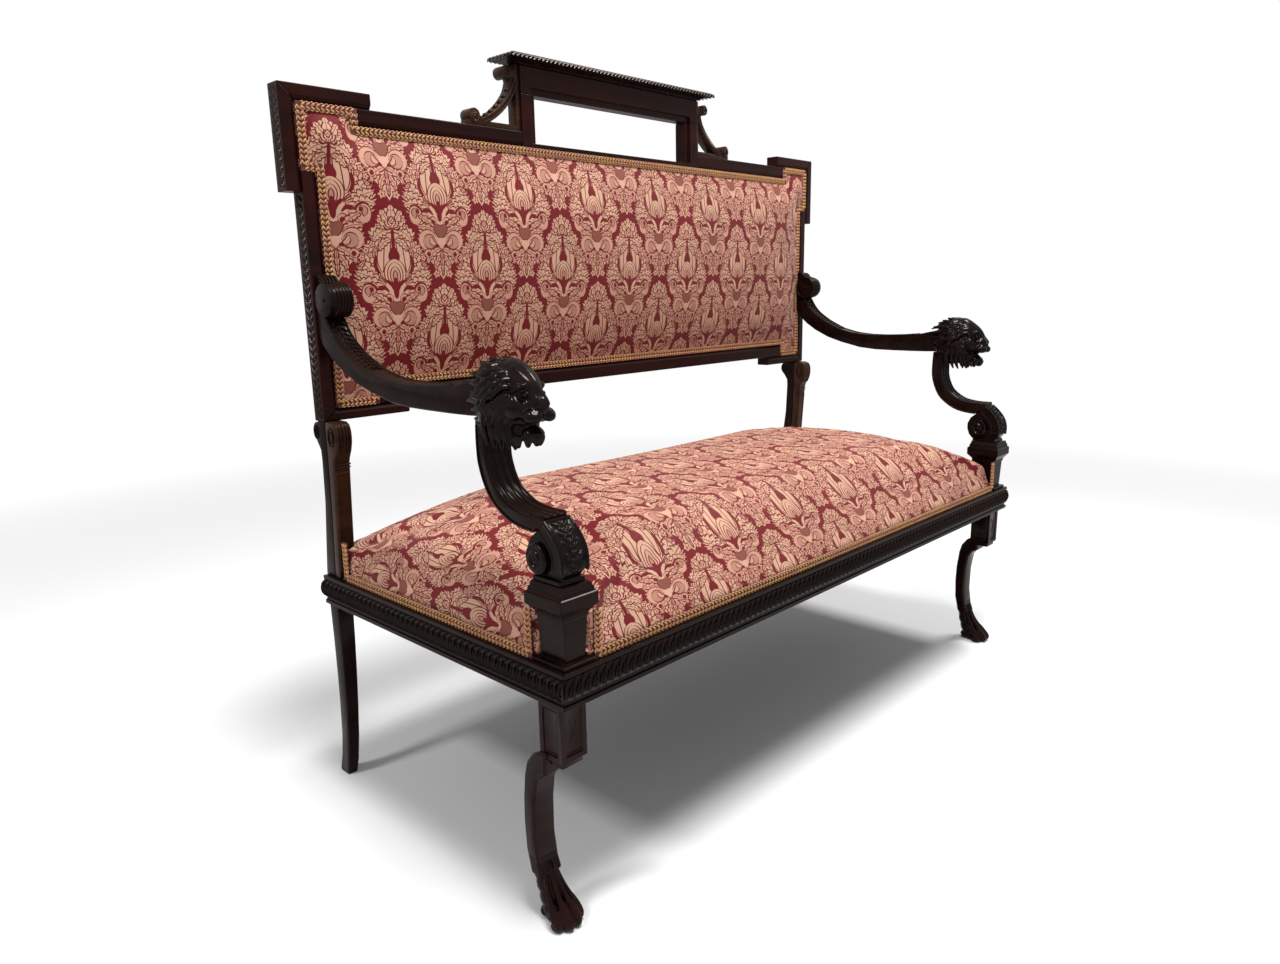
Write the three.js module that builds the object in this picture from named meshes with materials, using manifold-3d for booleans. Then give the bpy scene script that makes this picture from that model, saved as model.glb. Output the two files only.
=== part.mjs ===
// A carved show-wood settee: an eared rectangular back with a raised pierced crest, lion-head arms on
// S-shaped supports, a sprung seat in damask, and paw feet at the front. Millimetres, +Z up, the front
// faces -Y, and the origin is on the floor at the middle of the footprint.
import * as THREE from "three";
import { mergeVertices } from "three/addons/utils/BufferGeometryUtils.js";
import Module from "manifold-3d";

const wasm = await Module();
wasm.setup();

// Seat frame, the driving sizes
const railLength = 1274; // outside length of the seat frame
const railDepth = 569; // outside depth of the seat frame
const ledgeHeight = 354; // floor to the ledge that shows round the seat
const railHeight = 46;
const railThickness = 36;
const mouldingThickness = 11; // also how wide the ledge shows
const torusProud = 3; // how far the carved torus stands out of the ledge's edge
const torusHeight = 29;
const topFillet = 6;
const bottomFillet = 6;
const filletStep = 2.5; // how far the cove lies behind the fillets
const rearFootKick = 27; // how far the rear feet end behind the seat frame
const fit = 0.3; // gap between pieces that touch
const pegSides = 16;
const rollSides = 18;
const overrun = 5; // how far a cutting body passes the face it cuts
const arris = 1.5; // small bevel on sawn edges

// Seat frame, inside pieces
const crossRailWidth = 45;
const crossRailHeight = 22;
const cornerBlockReach = 70;
const cornerBlockDrop = 5;
const strapWidth = 50;
const strapThickness = 2;
const strapsAlong = 3;
const strapsAcross = 7;
const dustCoverThickness = 1.2;

// Springs
const springColumns = 6;
const springRows = 2;
const springTurns = 3.5;
const springRadius = 37;
const springWaistShare = 0.68;
const springWire = 4;
const springHeight = 92;
const springMarginAlong = 177; // from the end of the seat frame to the middle of a spring
const springMarginAcross = 184.5; // from its front or back to the middle of a spring
const springPitchAlong = (railLength - springMarginAlong - springMarginAlong) / (springColumns - 1);
const springPitchAcross = (railDepth - springMarginAcross - springMarginAcross) / (springRows - 1);
const cordThickness = 3;
const canvasThickness = 2;

// Seat pad
const padInset = 10.3; // from the seat frame's edge to the foot of the pad
const padRearInset = 9;
const padWall = 92; // height of the pad's side above the ledge
const padCrown = 24; // how far the middle rises above the wall
const padLipRise = 1.5; // how far the foot of the pad's side bows up between its corners
const padDrawIn = 5; // how far the sides pull in between the corners
const padClearance = 2; // from the pad to the woodwork that it is cut round
const chamberMargin = 62; // from the pad's foot to the spring chamber

// Braid
const braidWidth = 12;
const braidThickness = 2.4;
const braidRiser = 62; // height of the braid where it turns up

// Stand for the arm: pedestal, scroll, support and lion head share one centre line
const standInset = 31; // from the end of the seat frame to the centre line
const pedestalCentre = 34; // from the front edge to the middle of the pedestal
const plinthWidth = 50;
const plinthDepth = 58;
const plinthHeight = 5;
const shaftFootWidth = 31;
const shaftFootDepth = 44;
const shaftTopWidth = 38;
const shaftTopDepth = 47;
const shaftHeight = 53;
const capWidth = 60;
const capDepth = 66;
const capHeight = 43;
const neckWidth = 44;
const neckDepth = 56;
const scrollWidth = 42;
const scrollDepth = 71;
const scrollHeight = 75;
const scrollFront = 6.5; // from the front edge to the scroll's front
const scrollBossRadius = 19;
const scrollBossProud = 2;
const supportWidth = 36;
const supportThickness = 24;
const supportReach = 111; // how far the S sweeps back from its foot
const supportFoot = 38.8; // from the front edge to the cut end of the S
const fluteDepth = 2.6;
const armWidth = 30;
const armSplay = 9; // how far the arm leans outwards from the head to the stile
const armGap = 284.5; // from the ledge to the arm's lowest edge
const armSoffit = ledgeHeight + armGap;
const armStart = 158; // from the front edge to where the arm leaves the head
const armRise = 140; // from the soffit to the middle of the roll
const rollRadius = 23.5;
const rollWidth = 34;
const rollGroove = 2.2;
const rollSetBack = 26; // from the stile's face to the middle of the roll
const crestLeafHeight = 39; // leaf above the roll

// Lion head
const headWidth = 80;
const headLength = 118;
const headHeight = 110;
const headCentreY = 104; // from the front edge to the middle of the head
const headRise = 21.5; // from the arm's lowest edge to the middle of the head
const headCentreZ = armSoffit + headRise;
const headSegments = 36;
const headRings = 22;
const tenonRadius = 7;
const tenonLength = 24;
const supportPegLength = 10; // how far the S-shaped support reaches up into the head
const headClearance = 1; // from the support's front to the chin

// Front leg
const legBlockWidth = 41;
const legBlockDepth = 40;
const legBlockInset = 5; // from the end of the seat frame
const legBlockSetBack = 14; // from the front edge
const legBlockHeight = 75;
const panelMargin = 7;
const panelSink = 1.6;
const legStepHeight = 8;
const legStepInset = 4;
const legWidth = 35;
const legInset = 0;
const legDepth = 88; // from the front edge to the back of the leg's knee
const kneeDrop = 114; // from the ledge to the top of the knee
const legHeight = ledgeHeight - kneeDrop;
const dowelRadius = 6;
const dowelLength = 20;
const pegLength = 18; // how far a peg reaches down into the seat frame
const pawWidth = 44;
const pawLength = 58;
const pawHeight = 44;
const pawFront = 5; // from the front edge to the toes
const pawSegments = 28;
const pawRings = 16;

// Rear leg and rear post
const rearLegWidth = 27;
const rearLegDepth = 26;
const rearFootWidthShare = 0.62;
const rearInset = 6; // from the end of the seat frame to the rear leg
const postDepth = 22;
const consoleTopDepth = 30;
const consoleFootDepth = 15;
const rearScrollRadius = 15;
const postTopSetBack = 6; // from the back frame's face to the front of the post, at the top
const postFootSetIn = 28; // from the back of the seat frame to the front of the post, on the ledge
const postFootSetBack = railDepth - postFootSetIn;

// Back frame
const backSetIn = 45; // from the back of the seat frame to the face of the back frame
const backFace = railDepth - backSetIn;
const backThickness = 30;
const stileSetIn = 4; // from the end of the seat frame to the outer face of a stile
const stileHalf = railLength / 2 - stileSetIn;
const stileWidth = 23;
const earOut = 23; // how far an ear stands out past the stile
const earHalf = stileHalf + earOut;
const backRise = 719; // from the ledge to the top of the ears
const earTop = ledgeHeight + backRise;
const earHeight = 144;
const earBottom = earTop - earHeight;
const earRun = 118; // from the stile's outer face to the end of an upper ear
const earReturn = stileHalf - earRun;
const topRailDrop = 22; // from the top of the ears to the top rail
const topRailTop = earTop - topRailDrop;
const topRailWidth = 25;
const bottomRailRise = 292; // from the ledge to the top of the bottom rail
const bottomRailTop = ledgeHeight + bottomRailRise;
const bottomRailWidth = 27.4;
const lowerEarDrop = 18;
const lowerEarSetIn = 146; // from the stile's outer face to the end of a lower ear
const lowerEarReturn = stileHalf - lowerEarSetIn;
const frameBevelWidth = 7;
const frameBevelDepth = 4.5;
const earStep = 28; // height of the step inside an upper ear
const lowerEarRun = 72; // length of the step inside a lower ear

// Crest
const crestHalf = 230;
const crestPostWidth = 33;
const crestRise = 105; // from the top rail to the crest's top
const crestTop = topRailTop + crestRise;
const crestHeadHeight = 45;
const openingTop = crestTop - crestHeadHeight;
const sillHeight = 7;
const rebateWidth = 11;
const rebateDepth = 5;
const corniceOverhang = 32; // how far the cornice runs out past the crest
const corniceHalf = crestHalf + corniceOverhang;
const corniceDepth = 68;
const corniceHeight = 14;
const corniceProud = 21; // from the back frame's face to the cornice's front edge

// Bracket
const bracketLength = 107;
const bracketThickness = 22;
const bracketStrip = 8;
const lowRollRadius = 11;
const highRollRadius = 10;
const curveThickness = 10;

// Back upholstery
const borderWidth = 13; // flat border of the back pad, under the braid
const borderSetBack = 0.6; // braid's face behind the frame's face
const backCrown = 26;
const backPadThickness = 14;
const backClothThickness = 1.5;
const backStrapWidth = 50;
const backStrapsUp = 5;
const backStrapsAlong = 2;
const padCell = 90; // longest cell of the grid that shapes the back pad
const crownFall = 95; // from the border to where the back pad is full

const railBottom = ledgeHeight - railHeight;
const halfLength = railLength / 2;
const standX = standInset - halfLength;
const pedestalTop = ledgeHeight + fit + plinthHeight + shaftHeight + capHeight;
const boardX = railLength / 2 - mouldingThickness; // outer face of the seat rails, from the centre line
const frameBack = backFace + backThickness;
const stileInner = stileHalf - stileWidth;
const topRailBottom = topRailTop - topRailWidth;
const bottomRailBottom = bottomRailTop - bottomRailWidth;
const lowerEarBottom = bottomRailBottom - lowerEarDrop;

const darkWood = new THREE.MeshStandardMaterial({ color: 0x24120f, roughness: 0.32, metalness: 0 });
const redWood = new THREE.MeshStandardMaterial({ color: 0x3f1814, roughness: 0.35, metalness: 0 });
const warmWood = new THREE.MeshStandardMaterial({ color: 0x6b3a1e, roughness: 0.42, metalness: 0 });
const plainWood = new THREE.MeshStandardMaterial({ color: 0xa98157, roughness: 0.7, metalness: 0 });
const damask = new THREE.MeshStandardMaterial({ color: 0xb26a5c, roughness: 0.85, metalness: 0 });
const braid = new THREE.MeshStandardMaterial({ color: 0xb98a45, roughness: 0.7, metalness: 0 });
const canvas = new THREE.MeshStandardMaterial({ color: 0xb7a488, roughness: 0.95, metalness: 0 });
const blackCloth = new THREE.MeshStandardMaterial({ color: 0x1b1a1a, roughness: 0.95, metalness: 0 });
const steel = new THREE.MeshStandardMaterial({ color: 0x8d8a84, roughness: 0.4, metalness: 1 });

const mergeStep = 1e-3;

// A solid for cutting and joining, from a closed geometry.
function toSolid(geometry) {
  const plain = geometry.index ? geometry.toNonIndexed() : geometry.clone();
  plain.deleteAttribute("normal");
  plain.deleteAttribute("uv");
  const merged = mergeVertices(plain, mergeStep);
  return new wasm.Manifold(
    new wasm.Mesh({
      numProp: 3,
      vertProperties: merged.attributes.position.array,
      triVerts: new Uint32Array(merged.index.array),
    }),
  );
}

function toGeometry(solid) {
  const mesh = solid.getMesh();
  const geometry = new THREE.BufferGeometry();
  geometry.setAttribute("position", new THREE.BufferAttribute(mesh.vertProperties, 3));
  geometry.setIndex(new THREE.BufferAttribute(mesh.triVerts, 1));
  return geometry;
}

const joined = (...shapes) => toGeometry(shapes.map(toSolid).reduce((sum, next) => sum.add(next)));
const cutBy = (shape, ...cutters) =>
  toGeometry(cutters.map(toSolid).reduce((rest, next) => rest.subtract(next), toSolid(shape)));
const common = (shape, other) => toGeometry(toSolid(shape).intersect(toSolid(other)));

// A closed body through a row of rings of points. A loop of rings has no end caps.
function loft(rings, isLoop = false) {
  const count = rings[0].length;
  const faces = [];
  const spans = isLoop ? rings.length : rings.length - 1;
  for (let r = 0; r < spans; r++) {
    const a = r * count;
    const b = ((r + 1) % rings.length) * count;
    for (let i = 0; i < count; i++) {
      const j = (i + 1) % count;
      faces.push(a + i, a + j, b + j, a + i, b + j, b + i);
    }
  }
  if (!isLoop) {
    const first = capFaces(rings[0]);
    const end = capFaces(rings[rings.length - 1]);
    first.forEach(([a, b, c]) => faces.push(a, c, b));
    end.forEach((tri) => tri.forEach((i) => faces.push(i + spans * count)));
  }
  const points = rings.flat();
  const volume = faces.reduce((sum, _, i) => {
    if (i % 3) return sum;
    const [p, q, s] = [0, 1, 2].map((k) => points[faces[i + k]]);
    return sum + p.dot(q.clone().cross(s));
  }, 0);
  if (volume < 0) faces.reverse();
  const geometry = new THREE.BufferGeometry().setFromPoints(points);
  geometry.setIndex(faces);
  return geometry;
}

// Triangles over one ring, wound the way the ring runs.
function capFaces(ring) {
  const normal = new THREE.Vector3();
  ring.forEach((p, i) => normal.add(p.clone().cross(ring[(i + 1) % ring.length])));
  normal.normalize();
  const along = ring[1].clone().sub(ring[0]).normalize();
  const across = normal.clone().cross(along);
  const flat = ring.map((p) => new THREE.Vector2(p.dot(along), p.dot(across)));
  const turned = (a, b, c) => flat[b].clone().sub(flat[a]).cross(flat[c].clone().sub(flat[a])) < 0;
  return THREE.ShapeUtils.triangulateShape(flat, []).map(([a, b, c]) =>
    turned(a, b, c) ? [a, c, b] : [a, b, c],
  );
}

function box(x0, x1, y0, y1, z0, z1) {
  const geometry = new THREE.BoxGeometry(x1 - x0, y1 - y0, z1 - z0);
  geometry.translate((x0 + x1) / 2, (y0 + y1) / 2, (z0 + z1) / 2);
  return geometry;
}

// A board sawn to an outline: "x" boards have their outline in Y and Z, "y" boards in X and Z, and
// "z" boards in X and Y. The board fills from low to high along its own axis.
function sawn(outline, axis, low, high, bevel = 0) {
  const shape = new THREE.Shape(outline.map(([a, b]) => new THREE.Vector2(a, b)));
  const geometry = new THREE.ExtrudeGeometry(shape, {
    depth: high - low - bevel - bevel,
    bevelEnabled: bevel > 0,
    bevelThickness: bevel,
    bevelSize: bevel,
    bevelOffset: -bevel,
    bevelSegments: 1,
    steps: 1,
  });
  const turns = {
    x: new THREE.Matrix4().makeBasis(yAxis, zAxis, xAxis),
    y: new THREE.Matrix4().makeBasis(xAxis, zAxis, yAxis.clone().negate()),
    z: new THREE.Matrix4(),
  };
  geometry.applyMatrix4(turns[axis]);
  const start = { x: [low + bevel, 0, 0], y: [0, high - bevel, 0], z: [0, 0, low + bevel] };
  return geometry.translate(...start[axis]);
}

const xAxis = new THREE.Vector3(1, 0, 0);
const yAxis = new THREE.Vector3(0, 1, 0);
const zAxis = new THREE.Vector3(0, 0, 1);

// A round bar along X, Y or Z between two places on that axis.
function roundBar(axis, centre, radius, low, high, sides) {
  const geometry = new THREE.CylinderGeometry(radius, radius, high - low, sides);
  if (axis === "x") geometry.rotateZ(-Math.PI / 2);
  if (axis === "z") geometry.rotateX(Math.PI / 2);
  const middle = (low + high) / 2;
  const places = {
    x: [middle, centre[0], centre[1]],
    y: [centre[0], middle, centre[1]],
    z: [centre[0], centre[1], middle],
  };
  return geometry.translate(...places[axis]);
}

// Points of an outline given as shares of a width and a height, from one corner.
const place = (shares, cornerA, cornerB, sizeA, sizeB) =>
  shares.map(([a, b]) => [cornerA + a * sizeA, cornerB + b * sizeB]);

// A smooth open line through points, as that many points more.
function smooth(points, count) {
  const curve = new THREE.CatmullRomCurve3(points.map(([a, b]) => new THREE.Vector3(a, b, 0)));
  return curve.getSpacedPoints(count).map((p) => [p.x, p.y]);
}

const rectangle = (x0, x1, y0, y1, z) => [
  new THREE.Vector3(x0, y0, z),
  new THREE.Vector3(x1, y0, z),
  new THREE.Vector3(x1, y1, z),
  new THREE.Vector3(x0, y1, z),
];

const settee = new THREE.Group();
settee.position.y = -(railDepth + rearFootKick - torusProud) / 2;
const leftSide = new THREE.Group();
const rightSide = new THREE.Group();
rightSide.scale.x = -1;
settee.add(leftSide, rightSide);

function add(name, geometry, material, group = settee) {
  geometry.computeVertexNormals();
  const mesh = new THREE.Mesh(geometry, material);
  mesh.name = name;
  group.add(mesh);
}

// Each side piece is built for the left end, and its copy is mirrored for the right end.
function addPair(name, geometry, material) {
  add("left_" + name, geometry.clone(), material, leftSide);
  add("right_" + name, geometry, material, rightSide);
}

// Seat frame

const railOuter = boardX - fit;
const frontRailBack = mouldingThickness + fit + railThickness;
const rearRailFront = railDepth - railThickness;
const legDowelX = legBlockInset + legBlockWidth / 2 - halfLength;
const legDowelY = legBlockSetBack + legBlockDepth / 2;
const rearLegX = rearInset + rearLegWidth / 2 - halfLength;
const rearLegY = railDepth - rearLegDepth / 2;
const legDowelTop = railBottom + dowelLength;
const pegBottom = ledgeHeight - pegLength;

function seatRails() {
  const bore = (x, y) => [
    roundBar("z", [x, y], dowelRadius + fit, railBottom - overrun, legDowelTop, pegSides),
    roundBar("z", [x, y], dowelRadius + fit, pegBottom, ledgeHeight + overrun, pegSides),
  ];
  const front = box(-railOuter, railOuter, mouldingThickness + fit, frontRailBack, railBottom, ledgeHeight);
  const frontBores = [-1, 1].flatMap((sign) => bore(sign * legDowelX, legDowelY));
  add("front_seat_rail", cutBy(front, ...frontBores), plainWood);
  const rear = box(-railOuter, railOuter, rearRailFront, railDepth, railBottom, ledgeHeight);
  const rearBores = [-1, 1].flatMap((sign) => bore(sign * rearLegX, rearLegY));
  add("rear_seat_rail", cutBy(rear, ...rearBores), redWood);
  const innerFace = railThickness - railOuter;
  const [sideFront, sideRear] = [frontRailBack + fit, rearRailFront - fit];
  const side = box(-railOuter, innerFace, sideFront, sideRear, railBottom, ledgeHeight);
  addPair("seat_rail", side, plainWood);
  const halfCross = crossRailWidth / 2;
  const crossTop = railBottom + crossRailHeight;
  add(
    "centre_cross_rail",
    box(-halfCross, halfCross, sideFront, sideRear, railBottom, crossTop),
    plainWood,
  );
  const [cornerX, cornerY] = [innerFace + fit, frontRailBack + fit];
  const blockOutline = [
    [cornerX, cornerY],
    [cornerX + cornerBlockReach, cornerY],
    [cornerX, cornerY + cornerBlockReach],
  ];
  addPair(
    "corner_block",
    sawn(blockOutline, "z", railBottom + cornerBlockDrop, ledgeHeight - cornerBlockDrop),
    plainWood,
  );
}

// The moulding's section, as places out from the ledge's edge and up from the floor.
function mouldingSection() {
  const torusTop = ledgeHeight - topFillet;
  const torusMiddle = torusTop - torusHeight / 2;
  const torusSteps = 7;
  const torus = Array.from({ length: torusSteps + 1 }, (_, i) => {
    const angle = (i / torusSteps - 1 / 2) * Math.PI;
    const out = (torusProud + filletStep) * Math.cos(angle) - filletStep;
    return [out, torusMiddle + (torusHeight / 2) * Math.sin(angle)];
  });
  return [
    [-mouldingThickness, railBottom],
    [0, railBottom],
    [0, railBottom + bottomFillet],
    [-filletStep, railBottom + bottomFillet],
    ...torus,
    [0, torusTop],
    [0, ledgeHeight],
    [-mouldingThickness, ledgeHeight],
  ];
}

function railMouldings() {
  const section = mouldingSection();
  const frontEnd = (sign) =>
    section.map(([out, up]) => new THREE.Vector3(sign * (halfLength + out), -out, up));
  add("front_rail_moulding", loft([frontEnd(-1), frontEnd(1)]), darkWood);
  const sideFront = section.map(([out, up]) => new THREE.Vector3(-halfLength - out, fit + fit - out, up));
  const sideRear = section.map(([out, up]) => new THREE.Vector3(-halfLength - out, railDepth, up));
  addPair("rail_moulding", loft([sideFront, sideRear]), darkWood);
}

// Webbing, springs and covers of the seat

function seatWebbing() {
  const top = railBottom - fit;
  const bottom = top - strapThickness;
  const half = strapWidth / 2;
  const endX = boardX;
  const frontY = mouldingThickness + fit;
  const rearY = railDepth - mouldingThickness;
  const along = Array.from({ length: strapsAlong }, (_, i) => {
    const y = (railDepth * (i + 1)) / (strapsAlong + 1);
    return box(-endX, endX, y - half, y + half, bottom, top);
  });
  const across = Array.from({ length: strapsAcross }, (_, i) => {
    const x = -halfLength + (railLength * (i + 1)) / (strapsAcross + 1);
    return box(x - half, x + half, frontY, rearY, bottom, top);
  });
  add("seat_webbing", joined(...along, ...across), canvas);
}

function dustCover() {
  const top = railBottom - fit - strapThickness - fit;
  const bottom = top - dustCoverThickness;
  const sheet = box(-boardX, boardX, mouldingThickness, railDepth - mouldingThickness, bottom, top);
  const low = bottom - overrun;
  const frontCut = legBlockInset + legBlockWidth + fit + fit - halfLength;
  const rearCut = rearInset + rearLegWidth + fit + fit - halfLength;
  const frontY = legBlockSetBack + legBlockDepth + fit + fit;
  const rearY = railDepth - rearLegDepth - fit - fit;
  const cuts = [
    box(-halfLength, frontCut, -overrun, frontY, low, top + overrun),
    box(-frontCut, halfLength, -overrun, frontY, low, top + overrun),
    box(-halfLength, rearCut, rearY, railDepth + overrun, low, top + overrun),
    box(-rearCut, halfLength, rearY, railDepth + overrun, low, top + overrun),
  ];
  add("dust_cover", cutBy(sheet, ...cuts), blackCloth);
}

// One hourglass spring as an unbroken wire, flat at both ends.
function spring(x, y) {
  const stepsPerTurn = 8;
  const wireSides = 4;
  const steps = stepsPerTurn * springTurns;
  const rise = springHeight - springWire;
  const low = railBottom + springWire / 2;
  const wirePoint = (t) => {
    const angle = Math.PI * 2 * springTurns * t;
    const radius = springRadius * (1 - (1 - springWaistShare) * Math.sin(Math.PI * t));
    const height = low + rise * THREE.MathUtils.smoothstep(t, 0, 1);
    return new THREE.Vector3(x + radius * Math.cos(angle), y + radius * Math.sin(angle), height);
  };
  const rings = Array.from({ length: steps + 1 }, (_, i) => {
    const t = i / steps;
    const centre = wirePoint(t);
    const out = new THREE.Vector3(centre.x - x, centre.y - y, 0).normalize();
    return Array.from({ length: wireSides }, (_, k) => {
      const turn = (Math.PI * 2 * k) / wireSides;
      const wire = springWire / 2;
      return centre
        .clone()
        .addScaledVector(out, wire * Math.cos(turn))
        .addScaledVector(zAxis, wire * Math.sin(turn));
    });
  });
  return loft(rings);
}

const springTop = railBottom + springHeight;

// The springs are tied into one unit by cords across their tops.
function lashedSprings() {
  const spread = (count, pitch) => Array.from({ length: count }, (_, i) => (i - (count - 1) / 2) * pitch);
  const columns = spread(springColumns, springPitchAlong);
  const rows = spread(springRows, springPitchAcross).map((y) => y + railDepth / 2);
  const half = cordThickness / 2;
  const reach = springRadius + springWire;
  const low = springTop - springWire / 2 - half;
  const alongEnd = columns[columns.length - 1] + reach;
  const along = rows.map((y) => box(-alongEnd, alongEnd, y - half, y + half, low, springTop));
  const across = columns.map((x) =>
    box(x - half, x + half, rows[0] - reach, rows[rows.length - 1] + reach, low, springTop),
  );
  const springs = columns.flatMap((x) => rows.map((y) => spring(x, y)));
  add("lashed_springs", joined(...along, ...across, ...springs), steel);
}

const chamberX = halfLength - padInset - chamberMargin;
const chamberFront = padInset + chamberMargin;
const chamberRear = railDepth - padRearInset - chamberMargin;
const canvasBottom = springTop + fit;
const canvasTop = canvasBottom + canvasThickness;

function springCanvas() {
  const edge = fit + fit;
  add(
    "spring_canvas",
    box(
      edge - chamberX,
      chamberX - edge,
      chamberFront + edge,
      chamberRear - edge,
      canvasBottom,
      canvasTop,
    ),
    canvas,
  );
}

// Space kept clear of the pad at the foot of each pedestal, wider under the cap.
function pedestalSpace(sign) {
  const level = (width, depth, z) => {
    const inner = sign * (standX + width / 2 + padClearance);
    const outer = -sign * (halfLength + overrun);
    return rectangle(outer, inner, -overrun, pedestalCentre + depth / 2 + padClearance, z);
  };
  const shaftFoot = ledgeHeight - overrun;
  const shaftTop = ledgeHeight + plinthHeight + shaftHeight;
  return loft([
    level(plinthWidth, plinthDepth, shaftFoot),
    level(plinthWidth, plinthDepth, ledgeHeight + plinthHeight + padClearance),
    level(shaftFootWidth, shaftFootDepth, ledgeHeight + plinthHeight + padClearance),
    level(shaftTopWidth, shaftTopDepth, shaftTop - padClearance),
    level(capWidth, capDepth, shaftTop),
    level(capWidth, capDepth, pedestalTop + padWall),
  ]);
}

function rearPostSpace(sign) {
  const inner = sign * (rearInset + rearLegWidth + padClearance - halfLength);
  const outer = -sign * (halfLength + overrun);
  const front = postFootSetBack - consoleFootDepth - padClearance;
  const lean = postFootSetBack - backFace - postTopSetBack;
  const top = pedestalTop + padWall;
  return loft([
    rectangle(outer, inner, front, railDepth + overrun, ledgeHeight - overrun),
    rectangle(outer, inner, front - lean, railDepth + overrun, top),
  ]);
}

// Crowned seat pad: a square-shouldered loaf whose sides pull in between its corners.
function seatPad() {
  const stepsAlong = 24;
  const stepsAcross = 14;
  const shoulder = 6;
  const halfX = halfLength - padInset;
  const halfY = (railDepth - padInset - padRearInset) / 2;
  const middleY = padInset + halfY;
  const foot = ledgeHeight + fit;
  const lip = braidWidth / 2;
  const spread = (i, steps) => Math.sin((Math.PI * (i / steps - 1 / 2)));
  const rings = Array.from({ length: stepsAcross + 1 }, (_, j) => {
    const v = spread(j, stepsAcross);
    const top = Array.from({ length: stepsAlong + 1 }, (_, i) => {
      const u = spread(i, stepsAlong);
      const wall = ((1 - Math.abs(u) ** shoulder) * (1 - Math.abs(v) ** shoulder)) ** (1 / shoulder);
      const crown = (1 - u ** 4) * (1 - Math.abs(v) ** 3);
      const drawn = padDrawIn * wall;
      const x = u * (halfX - drawn * (1 - v * v));
      const y = middleY + v * (halfY - drawn * (1 - u * u));
      const rise = padLipRise * (1 - u * u) + (padWall - lip) * wall + padCrown * crown;
      return new THREE.Vector3(x, y, foot + lip + rise);
    });
    const y = middleY + v * halfY;
    return [...top, new THREE.Vector3(halfX, y, foot), new THREE.Vector3(-halfX, y, foot)];
  });
  const chamber = box(-chamberX, chamberX, chamberFront, chamberRear, foot - overrun, canvasTop + fit);
  const cuts = [1, -1].flatMap((sign) => [pedestalSpace(sign), rearPostSpace(sign)]);
  add("seat_pad", cutBy(loft(rings), chamber, ...cuts), damask);
}

// Braid along the foot of the pad, turned up beside the pedestals and the rear posts.
function seatBraid() {
  const foot = ledgeHeight + fit;
  const strip = (start, end) => [
    [start, foot],
    [end, foot],
    [end, foot + braidRiser],
    [end - braidWidth, foot + braidRiser],
    [end - braidWidth, foot + braidWidth],
    [start + braidWidth, foot + braidWidth],
    [start + braidWidth, foot + braidRiser],
    [start, foot + braidRiser],
  ];
  const face = padInset - fit;
  const frontEnd = standX + plinthWidth / 2 + padClearance;
  add("front_seat_braid", sawn(strip(frontEnd, -frontEnd), "y", face - braidThickness, face), braid);
  const sideStart = pedestalCentre + plinthDepth / 2 + padClearance;
  const sideEnd = backFace + postTopSetBack - consoleFootDepth - padClearance;
  addPair(
    "seat_braid",
    sawn(strip(sideStart, sideEnd), "x", face - braidThickness - halfLength, face - halfLength),
    braid,
  );
}

// Arm stands

function pedestal() {
  const foot = ledgeHeight + fit;
  const shaftBottom = foot + plinthHeight;
  const shaftTop = shaftBottom + shaftHeight;
  const level = (width, depth, z) => {
    const [halfWidth, halfDepth] = [width / 2, depth / 2];
    const [nearY, farY] = [pedestalCentre - halfDepth, pedestalCentre + halfDepth];
    return rectangle(standX - halfWidth, standX + halfWidth, nearY, farY, z);
  };
  // share of the way out from the shaft to the cap's edge, and share of the cap's height
  const capShares = [
    [0.16, 0],
    [0.16, 0.1],
    [0.3, 0.16],
    [0.86, 0.32],
    [1, 0.36],
    [1, 0.68],
    [0.72, 0.72],
    [0.66, 0.84],
    [0.5, 0.88],
  ];
  const cap = capShares.map(([out, up]) =>
    level(
      THREE.MathUtils.lerp(shaftTopWidth, capWidth, out),
      THREE.MathUtils.lerp(shaftTopDepth, capDepth, out),
      shaftTop + up * capHeight,
    ),
  );
  const body = loft([
    level(plinthWidth, plinthDepth, foot),
    level(plinthWidth, plinthDepth, shaftBottom - fit),
    level(plinthWidth - arris, plinthDepth - arris, shaftBottom),
    level(shaftFootWidth, shaftFootDepth, shaftBottom),
    level(shaftTopWidth, shaftTopDepth, shaftTop),
    ...cap,
    level(neckWidth, neckDepth, pedestalTop),
  ]);
  const peg = roundBar("z", [legDowelX, legDowelY], dowelRadius, pegBottom + fit, shaftBottom, pegSides);
  addPair("arm_pedestal", joined(body, peg), darkWood);
}

// The scroll's outline from the front of its neck, over its leafed front and round the volute behind.
const scrollShares = [
  [0.106, 0],
  [0.106, 0.085],
  [0.014, 0.19],
  [0, 0.325],
  [0.02, 0.485],
  [0.092, 0.645],
  [0.218, 0.79],
  [0.33, 0.89],
  [0.455, 0.987],
  [0.81, 0.708],
  [0.908, 0.632],
  [0.993, 0.47],
  [0.996, 0.325],
  [0.937, 0.165],
  [0.838, 0.06],
  [0.754, 0],
];
const scrollFoot = pedestalTop + fit;
const scrollBossShare = [0.613, 0.365];
const seatStartShare = scrollShares[8];
const seatEndShare = scrollShares[9];

function scrollBlock() {
  const outline = place(scrollShares, scrollFront, scrollFoot, scrollDepth, scrollHeight).reverse();
  const half = scrollWidth / 2;
  const block = sawn(outline, "x", standX - half, standX + half, arris);
  const [boss] = place([scrollBossShare], scrollFront, scrollFoot, scrollDepth, scrollHeight);
  const reach = half + scrollBossProud;
  const bosses = roundBar("x", boss, scrollBossRadius, standX - reach, standX + reach, rollSides);
  addPair("arm_scroll", joined(block, bosses), darkWood);
}

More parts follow.
